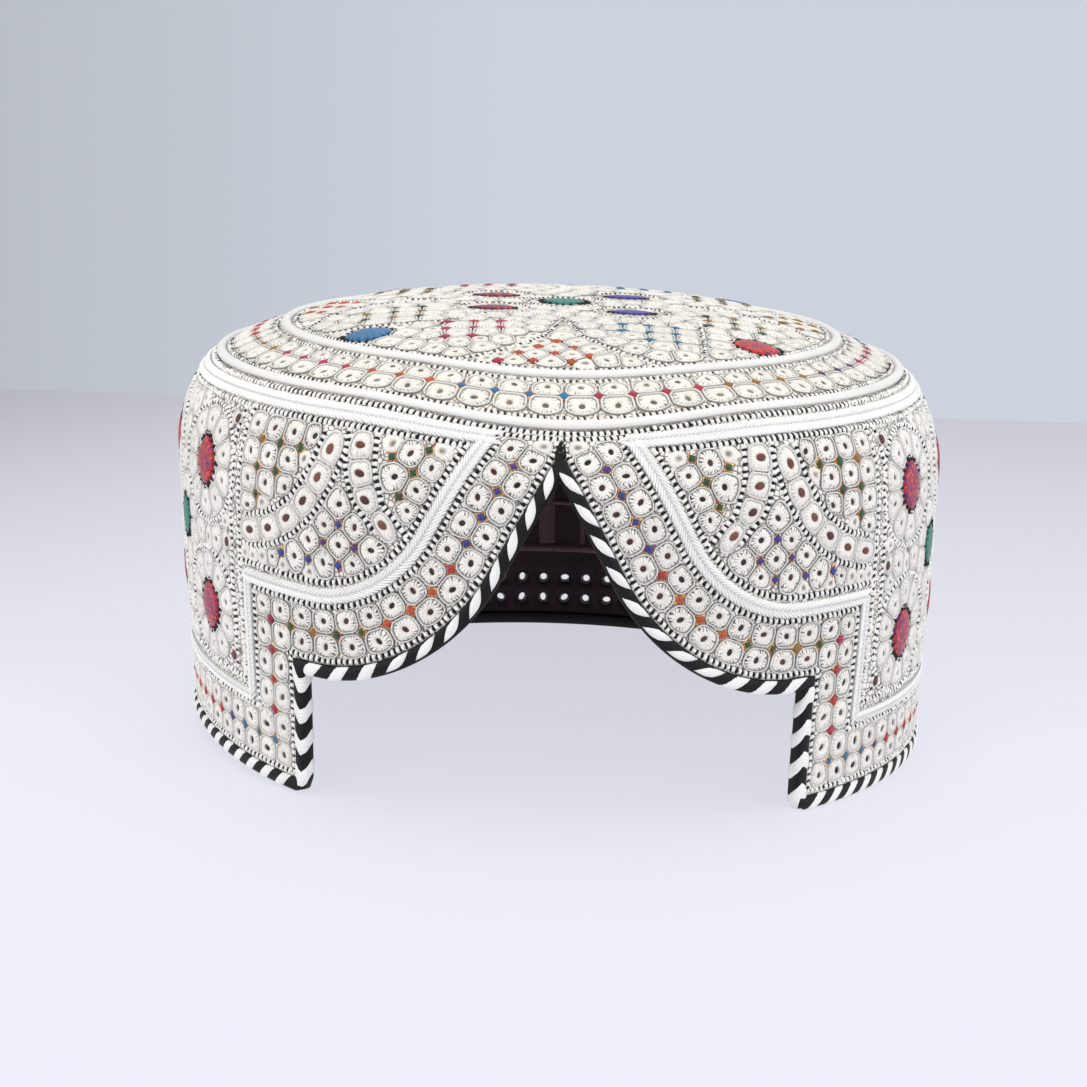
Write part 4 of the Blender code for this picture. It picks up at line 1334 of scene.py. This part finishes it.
silks = {
    "magenta": rgb(164, 20, 66), "red": rgb(178, 30, 42), "tealSilk": rgb(26, 122, 104),
    "blueSilk": rgb(40, 112, 160),
    "redSilk": rgb(190, 34, 30), "purpleSilk": rgb(66, 46, 140), "maroonSilk": rgb(124, 30, 58),
}
medallionRadius, drawnIn = unitForms["medallion"][0][0] * mm, 0.3
lens = turnedUnit(unitForms["medallion"], 36)
for v in lens.data.vertices:  # drawn in towards both ends of its length
    v.co.y *= 1 - drawnIn * (v.co.x / medallionRadius) ** 2
medallionUnit = readUnit(lens)
spikeUnit, spikeCount = readUnit(padUnit(4, 2, 2.5, 1.2, 0.5, 0.12, 1.0), polar=False), 20
for label, rows in (("wall", medallions), ("crown", crownMedallions)):
    plan = label == "crown"
    if not plan:
        rows = rows + [(-u, s, r, "red" if name == "magenta" and s > 60 * mm and u < deg(90) else name)
                       for u, s, r, name in rows if abs(u) > 0.3 * mm]
    discs, spikes = {"silk": [], "plainSilk": []}, []
    for u, s, r, name in rows:
        kind = "plainSilk" if name in ("tealSilk", "blueSilk", "purpleSilk") else "silk"
        long, slim, turn = 1.06, 0.86, math.pi / 2
        if plan:
            long, slim, turn = 1.2, 0.62 if name in ("maroonSilk", "purpleSilk") else 0.95, 0
        size = r / medallionRadius
        discs[kind].append([u, s, size * long, size * slim, turn, 0.0] + list(silks[name][:3]))
        for k in range(spikeCount):
            a = 2 * math.pi * (k + rng.uniform(-0.2, 0.2)) / spikeCount
            way = math.atan2(math.sin(a) / slim, math.cos(a) / long) + turn
            size = rng.uniform(0.8, 1.1) * (0.6 if slim < 0.7 else 1)
            along, across = r * long * math.cos(a), r * slim * math.sin(a) * (1 - drawnIn * math.cos(a) ** 2)
            away = 1 + 0.5 * size * mm / math.hypot(along, across)
            x, y = (away * v for v in ((along, across) if plan else (-across, along)))
            spikes.append([u + x, s + y, size, size, way, 0.05 * mm, 1, 1, 1])
    for kind, found in discs.items():
        title = label + kind[0].upper() + kind[1:] + "Medallions"
        finishPiece(joinCopies(title, medallionUnit, found, paint[kind], plan), label + "_embroidery")
    piece = joinCopies(label + "MedallionEdges", spikeUnit, spikes, paint["black"], plan)
    finishPiece(piece, label + "_embroidery")
print("scene: stars and medallions made")

# ---- ladders: white bars over a black line ----

ladder = {"pitch": 1.62 * mm, "groundWidth": 0.5 * mm, "groundHeights": (-0.05, 0.17, -0.05), "slant": 0.18}
barUnit = readUnit(padUnit(4, 3, 1.36, 1.14, 0.50, 0.66, 2.6), polar=False)
tickUnit = readUnit(padUnit(3, 2, 1.62, 0.56, 0.36, 0.55, 2.0), polar=False)


def ladderPieces(label, rows):
    plan, slotName = label == "crown", label + "_embroidery"
    bars, ticks, grids, maps = [], [], [], []
    for points, closed, size in rows:
        for side in (1,) if plan else (1, -1):
            way = points * np.array([side, 1])
            spots, turns = resample(way, ladder["pitch"] * (size + 0.15 * plan), closed)
            for k, ((u, s), turn) in enumerate(zip(spots, turns)):
                lean = turn + math.pi / 2 + side * ladder["slant"] + rng.uniform(-0.16, 0.16)
                long, wide = size * rng.uniform(0.78, 1.12), size * rng.uniform(0.82, 1.1)
                strong = 1.0 if plan else float(contrastAt(u, s))
                sway = rng.normal(0, 0.09, 2) * mm
                barLean = lean + rng.uniform(-0.15, 0.15)
                bars.append([u + sway[0], s + sway[1], long, wide, barLean, 0.06 * mm, 1, 1, 1])
                half = ladder["pitch"] * size / 2
                u, s = u + math.cos(turn) * half, s + math.sin(turn) * half
                if (k < len(spots) - 1 or closed) and not ((plan or strong < 0.6) and rng.random() < 0.2):
                    off = side * 0.12 * mm
                    u, s = u - math.sin(turn) * off, s + math.cos(turn) * off
                    heavy = size * (0.66 + 0.34 * strong)
                    long, wide = heavy * rng.uniform(0.8, 1.1), heavy * rng.uniform(0.8, 1.2)
                    ticks.append([u, s, long, wide, lean, 0.1 * mm, 1, 1, 1])
            if plan:  # on the crown the cloth shows between the bars
                continue
            line = np.concatenate([spots, spots[:1]]) if closed else spots
            angle = np.concatenate([turns, turns[:1]]) if closed else turns
            across = np.stack([-np.sin(angle), np.cos(angle)], 1)
            strong = 0.1 + 0.9 * contrastAt(line[:, :1], line[:, 1:])
            place = np.stack([line + across * (ladder["groundWidth"] * size) * k * strong for k in (-1, 0,
                1)], 1)
            high = np.broadcast_to(np.array(ladder["groundHeights"]) * mm, (len(line), 3))
            grids.append(wrapPoints(place[:, :, 0], place[:, :, 1], high))
            maps.append(np.stack(np.meshgrid(np.arange(len(line)) / 4, [0, 0.5, 1], indexing="ij"), -1))
    finishPiece(joinCopies(label + "LadderTicks", tickUnit, ticks, paint["black"], plan), slotName)
    finishPiece(joinCopies(label + "LadderBars", barUnit, bars, paint["bead"], plan), slotName)
    if grids:
        finishPiece(gridMesh(label + "LadderGround", grids, maps, paint["black"]), slotName)


ladderPieces("wall", ladders)
ladderPieces("crown", crownLadders)
print("scene: ladders made")

# ---- braids of herringbone stitches, and the padded satin rings ----

braid = {
    "pitch": 1.12 * mm, "length": 3.7, "width": 0.66, "height": 0.42, "angle": math.radians(29),
    "lift": 0.52 * mm,
    "barRise": 0.75 * mm, "archWidth": 3.4 * mm, "rimWidth": 2.6 * mm, "rimInset": 19.2 * mm,
    "topWidth": 3.8 * mm,
    "bar": ((-0.5, 0.02), (-0.42, 0.5), (-0.2, 0.85), (0, 0.95), (0.2, 0.85), (0.42, 0.5), (0.5, 0.02)),
}
ring = {
    "width": (2.4 * mm, 2.5 * mm), "rise": 1.15 * mm, "from": (0.3 * mm, 17.1 * mm),
    "profile": ((0, 0.0), (0.06, 0.5), (0.22, 0.85), (0.5, 1.0), (0.78, 0.85), (0.94, 0.5), (1.0, 0.0),
        (0.5, -0.05),
                (0, 0.0)),
}
strandUnit = readUnit(padUnit(6, 3, braid["length"], braid["width"], braid["height"], 0.25, 2.0), polar=False)


def herringbone(name, line, ways, slotName, node, width, growth=1.0):
    bars, rows = [], []
    for mirror in ways:
        way = np.asarray(line) * np.array([mirror, 1])
        # the bar under the stitches carries painted shade
        bars.append(bandMesh(name + "Bar", way, 2.2 * mm, braid["bar"], width, 0.0, braid["barRise"],
            paint["shadedBraidBar"]))
        spots, turns = resample(way, braid["pitch"])
        for (u, s), turn in zip(spots, turns):
            for side in (-1, 1):
                off = side * width * 0.26
                lean = turn + side * braid["angle"] * mirror + rng.uniform(-0.06, 0.06)
                x, y = u - math.sin(turn) * off, s + math.cos(turn) * off
                rows.append([x, y, growth, growth * rng.uniform(0.9, 1.1), lean, braid["lift"], 1, 1, 1])
    stitches = joinCopies(name + "Stitches", strandUnit, rows, paint["braid"])
    return finishPiece(joinPieces(name, [stitches] + bars), slotName, node)


archLine = below(bandLine[: flapIndex + 1], 91.2 * mm)
rimLine = edgeLine(braid["rimInset"])[flapIndex:]
topU = float(np.interp(-over["braid"], -bandLine[:flapIndex, 1], bandLine[:flapIndex, 0]))
topLine = [(topU - 1.4 * mm, over["braid"]), (backU, over["braid"])]
herringbone("archBraidRight", archLine, (1,), "herringbone_arch_right", "arch_braid_right",
    braid["archWidth"])
herringbone("archBraidLeft", archLine, (-1,), "herringbone_arch_left", "arch_braid_left", braid["archWidth"])
herringbone("rimBraid", rimLine, (1, -1), "herringbone_rim", "rim_braid", braid["rimWidth"], 0.8)
herringbone("topBraid", topLine, (1, -1), "herringbone_top", "wall_top_braid", braid["topWidth"], 1.12)


def satinRing(name, start, width, slotName, node):
    u = np.linspace(-backU, backU, 241)
    loops = [wrapPoints(u, start + width * share, 0.05 * mm + high * ring["rise"]) for share,
        high in ring["profile"]]
    piece = sheetMesh(name, np.stack(loops, 1), paint["ring"], closeAcross=True, closeAlong=True)
    return finishPiece(piece, slotName, node)


satinRing("crownEdgeRing", seamS + ring["from"][0], ring["width"][0], "satin_ring", "crown_edge_ring")
satinRing("crownInnerRing", seamS + ring["from"][1], ring["width"][1], "satin_inner_ring", "crown_inner_ring")
print("scene: braids and rings made")

# ---- the striped binding ----

binding = {
    "archPitch": 8.0 * mm, "flapPitch": 7.7 * mm, "rimPitch": 6.3 * mm, "first": 4.6 * mm, "archEnd": 64 * mm,
    "leafLength": 8.0 * mm, "leafWidth": 2.3 * mm, "leafLean": math.radians(20), "slant": 0.95,
    "over": (7.6 * mm, 4.7 * mm),  # how far a stitch goes over the fold, on the flap and on the rim
    "thick": 0.34 * mm, "middle": 1.6 * mm, "columns": 7, "rows": 16, "outerPoints": 14,
}
sectionPoints = np.array([  # inset and height of its outline, from the border over the fold to the inner edge
    (3.45, 0.02), (3.38, 0.45), (3.0, 0.78), (2.0, 0.92), (1.0, 0.88), (0.38, 0.60), (0.06, 0.15),
    (0.0, -0.5),
    (0.0, -1.4), (0.06, -2.0), (0.4, -2.5), (1.0, -2.78), (2.0, -2.86), (3.0, -2.75), (3.38, -2.5),
    (3.4, -2.22),
    (1.1, -2.15), (1.1, 0.0),
]) * mm
overPoints = sectionPoints[: binding["outerPoints"]]
overLength = lengthAlong(overPoints)
edgeCount = len(guide)
bindingLength = lengthAlong(bothHalves(edgeLine(binding["middle"])))
halfLength = bindingLength[-1] / 2


def bindingLine(inset, t):
    whole = bothHalves(edgeLine(inset))
    return np.stack([np.interp(t, bindingLength, whole[:, k]) for k in (0, 1)], -1)


stations = np.append(np.linspace(0, bindingLength[-1], 420), bindingLength[edgeCount - 1])
loops = []
for inset, high in sectionPoints:
    place = bindingLine(inset, np.unique(stations))
    loops.append(wrapPoints(place[:, 0], np.maximum(place[:, 1], 0), high))
loops = np.stack(loops + loops[:1], 1)
strip = sheetMesh("edgeBinding", loops, paint["bindingGround"], closeAcross=True, closeAlong=True)
finishPiece(strip, "striped_binding", "edge_binding")


def onBinding(t, w, lift):  # t along the edge, w over the fold from the outer border, lift off the binding
    inset, high = (np.interp(w, overLength, overPoints[:, k]) for k in (0, 1))
    bend = np.interp(w, overLength[[0, 3, 6, 8, 10, 13]], [0.0, 0.0, 1.2, 1.6, 2.2, 3.14])
    inset, high = inset - lift * np.sin(bend), high + lift * np.cos(bend)
    near, far = bindingLine(0.0, t), bindingLine(4 * mm, t)
    place = near + (far - near) * (inset / (4 * mm))[..., None]
    middle = bindingLine(binding["middle"], t)  # on the straight part of the arch, square to the edge
    side = np.sign(t - halfLength)
    square = np.stack([np.sin(archForm["slope"]) * side, np.cos(archForm["slope"]) + 0 * side], -1)
    straight = np.abs(t - halfLength) < bindingLength[edgeCount - 1 + edgeSteps["line"]] - halfLength
    place = np.where(straight[..., None], middle + square * (inset - binding["middle"])[..., None], place)
    return wrapPoints(place[..., 0], np.maximum(place[..., 1], 0.02 * mm), high)


cornerAway, footAway = (bindingLength[edgeCount - 1 + k] - halfLength for k in (flapIndex, footIndex))


def stitchPlaces():  # where the white stitches stand, as distances from the point of the arch
    away, found = binding["first"], []
    while away < footAway:
        found.append(away)
        away += binding["archPitch"] if away < cornerAway else binding["flapPitch"]
    end = halfLength - binding["rimPitch"] / 2
    return found + list(np.linspace(away, end, round((end - away) / binding["rimPitch"]) + 1))


def archStitch(x, w, middle):  # a long slanted leaf
    lean, run = binding["leafLean"], (w - 0.5) * binding["leafLength"]
    shape = np.clip(1 - np.abs(2 * w - 1) ** 1.6, 0.03, 1)
    sway = x * binding["leafWidth"] / 2 * shape
    t = middle - run * math.cos(lean) + sway * math.sin(lean)
    over = np.clip(2.0 * mm + run * math.sin(lean) + sway * math.cos(lean), 0.05 * mm, 9 * mm)
    return t, over, binding["thick"] * (1 - x**2) * np.clip(shape * 2, 0, 1) - 0.03 * mm


def foldStitch(x, w, middle, away):  # a slanted bar over the fold
    onFlap = cornerAway < away < footAway
    pitch = binding["archPitch" if away < cornerAway else "flapPitch" if onFlap else "rimPitch"]
    over = 0.12 * mm + w * binding["over"][0 if away < footAway else 1]
    slanted = over - 1.7 * mm
    if onFlap:  # the slant turns back over the fold, so the stripes look like chevrons
        slanted = np.where(over < 2.5 * mm, over, 5.0 * mm - over) - 1.5 * mm
        slanted = np.maximum(slanted, -2.5 * mm)
    shape = np.clip(np.minimum(w / 0.04, (1 - w) / 0.04), 0.4, 1) ** 0.5
    t = middle + x * pitch * 0.25 * shape - binding["slant"] * slanted
    ends = np.clip(np.minimum(w, 1 - w) * 14, 0, 1)
    return t, over, binding["thick"] * (1 - x**2) ** 0.7 * ends - 0.03 * mm


def bindingStitches():
    x = np.linspace(-1, 1, binding["columns"])
    x, w = np.meshgrid(x, np.linspace(0, 1, binding["rows"]), indexing="ij")
    grids = []
    for away in stitchPlaces():
        for side in (-1, 1):
            middle = halfLength + side * away
            onArch = away < binding["archEnd"]
            t, over, lift = archStitch(x, w, middle) if onArch else foldStitch(x, w, middle, away)
            grids.append(onBinding(np.clip(t, 0, bindingLength[-1]), over, lift))
    maps = [np.stack([(x + 1) / 2, w], -1)] * len(grids)
    return gridMesh("bindingStitches", grids, maps, paint["bindingStitch"], flip=True)


finishPiece(bindingStitches(), "striped_binding")
print("scene: binding made")

# ---- black knot of stitches over the point of the arch ----

knotRows = []
for k in range(44):
    s = rng.uniform(82.4, 90.6)
    u = rng.uniform(-1.0, 1.0) * (1.7 - (s - 82.4) * 0.11)
    lean = math.pi / 2 + rng.uniform(-0.5, 0.5)
    knotRows.append([u * mm, s * mm, rng.uniform(0.5, 0.8), 0.8, lean, rng.uniform(0.1, 0.6) * mm, 1, 1, 1])
finishPiece(joinCopies("archPointKnot", strandUnit, knotRows, paint["black"]), "striped_binding")

# ---- floor, light and camera ----

studio = {
    "floorBack": 0.47, "floorFront": -2.5, "floorSide": 2.5,
    "lens": 81.55, "place": (-1.99 * mm, -610.06 * mm, 183.64 * mm),
    "yaw": -0.0021, "pitch": 0.2242, "roll": 0.0313,
    "aim": (0, 0, 0.05), "light": (1.0, 0.965, 0.91), "sideLight": (1.0, 0.97, 0.92),
    "lights": {
        "overhead": ((0.0, 0.1, 1.5), 1.4, 10.4), "frontLeft": ((-0.9, -1.3, 0.8), 0.9, 7.4),
        "frontRight": ((1.1, -1.1, 0.7), 0.9, 5.8), "sideLeft": ((-1.6, -0.2, 0.5), 0.9, 8.5),
        "sideRight": ((1.6, -0.2, 0.5), 0.9, 6.5),
    },
}


def floorMaterial(look):  # pale paper that glows a little, so that shadows on it stay light: the glow is painted light, and it dims towards the back and more to the far left as painted shade
    material, tree, shader, spot = newMaterial("floorPaper", look)
    shader.inputs["Base Color"].default_value = look["paper"]
    shader.inputs["Emission Strength"].default_value = look["glow"]
    place = addNode(tree, "ShaderNodeSeparateXYZ")
    tree.links.new(spot, place.inputs[0])
    away = addNode(tree, "ShaderNodeMapRange", From_Min=look["nearY"], From_Max=look["farY"])
    tree.links.new(place.outputs[1], away.inputs["Value"])
    aside = addNode(tree, "ShaderNodeMapRange", From_Min=look["leftFrom"], From_Max=look["leftTo"])
    tree.links.new(place.outputs[0], aside.inputs["Value"])
    deep = mathNode(tree, "MULTIPLY", away.outputs[0], aside.outputs[0], clamp=True)
    colour = mixNode(tree, away.outputs[0], look["near"], look["far"])
    tree.links.new(mixNode(tree, deep, colour, look["shadedFarLeft"]), shader.inputs["Emission Color"])
    return material


clearSelection()
bpy.ops.mesh.primitive_grid_add(x_subdivisions=4, y_subdivisions=4, size=2)
floor = bpy.context.object
floor.name = floor.data.name = "studioFloor"
for v in floor.data.vertices:
    y = studio["floorFront"] + (studio["floorBack"] - studio["floorFront"]) * (v.co.y + 1) / 2
    v.co = (v.co.x * studio["floorSide"], y, 0)
floor.data.materials.append(floorMaterial({
    "paper": (0.15, 0.15, 0.165, 1.0), "roughness": 0.7, "specular": 0.0, "glow": 0.8,
    "nearY": -0.02, "farY": 0.45, "leftFrom": -0.1, "leftTo": -0.32,
    "near": rgb(236, 236, 247), "far": rgb(192, 192, 201), "shadedFarLeft": rgb(150, 150, 158)}))

world = bpy.data.worlds.new("studioWorld")
scene.world = world
world.use_nodes = True
skyTree = world.node_tree
sky = addNode(skyTree, "ShaderNodeSeparateXYZ")  # a pale wall that darkens a little to the left
skyTree.links.new(addNode(skyTree, "ShaderNodeTexCoord").outputs["Generated"], sky.inputs[0])
leftward = addNode(skyTree, "ShaderNodeMapRange", From_Min=-0.02, From_Max=-0.24)
skyTree.links.new(sky.outputs[0], leftward.inputs["Value"])
skyColour = mixNode(skyTree, leftward.outputs[0], rgb(205, 211, 221), rgb(184, 189, 197))
skyTree.links.new(skyColour, skyTree.nodes["Background"].inputs["Color"])


def addLight(name, place, size, power, colour):
    data = bpy.data.lights.new(name, "AREA")
    data.shape, data.size, data.energy, data.color = "DISK", size, power, colour
    lamp = bpy.data.objects.new(name, data)
    scene.collection.objects.link(lamp)
    lamp.location = place
    lamp.rotation_mode = "QUATERNION"
    lamp.rotation_quaternion = (Vector(studio["aim"]) - Vector(place)).to_track_quat("-Z", "Y")
    return lamp


for lightName, (place, size, power) in studio["lights"].items():
    addLight(lightName, place, size, power, studio["sideLight" if lightName.startswith("side") else "light"])

cameraData = bpy.data.cameras.new("photoCamera")
cameraData.lens, cameraData.sensor_width = studio["lens"], 36
camera = bpy.data.objects.new("photoCamera", cameraData)
scene.collection.objects.link(camera)
scene.camera = camera
look = Matrix.Rotation(-studio["yaw"], 4, "Z") @ Matrix.Rotation(math.pi / 2 - studio["pitch"], 4, "X")
camera.matrix_world = Matrix.Translation(studio["place"]) @ look @ Matrix.Rotation(studio["roll"], 4, "Z")
cameraData.clip_start, cameraData.clip_end = 0.01, 20
scene.view_settings.view_transform = "Standard"
triangles = 0
for piece in scene.objects:
    if piece.type == "MESH":
        triangles += sum(len(face.vertices) - 2 for face in piece.data.polygons)
print("scene: floor, light and camera set,", triangles, "triangles in all")
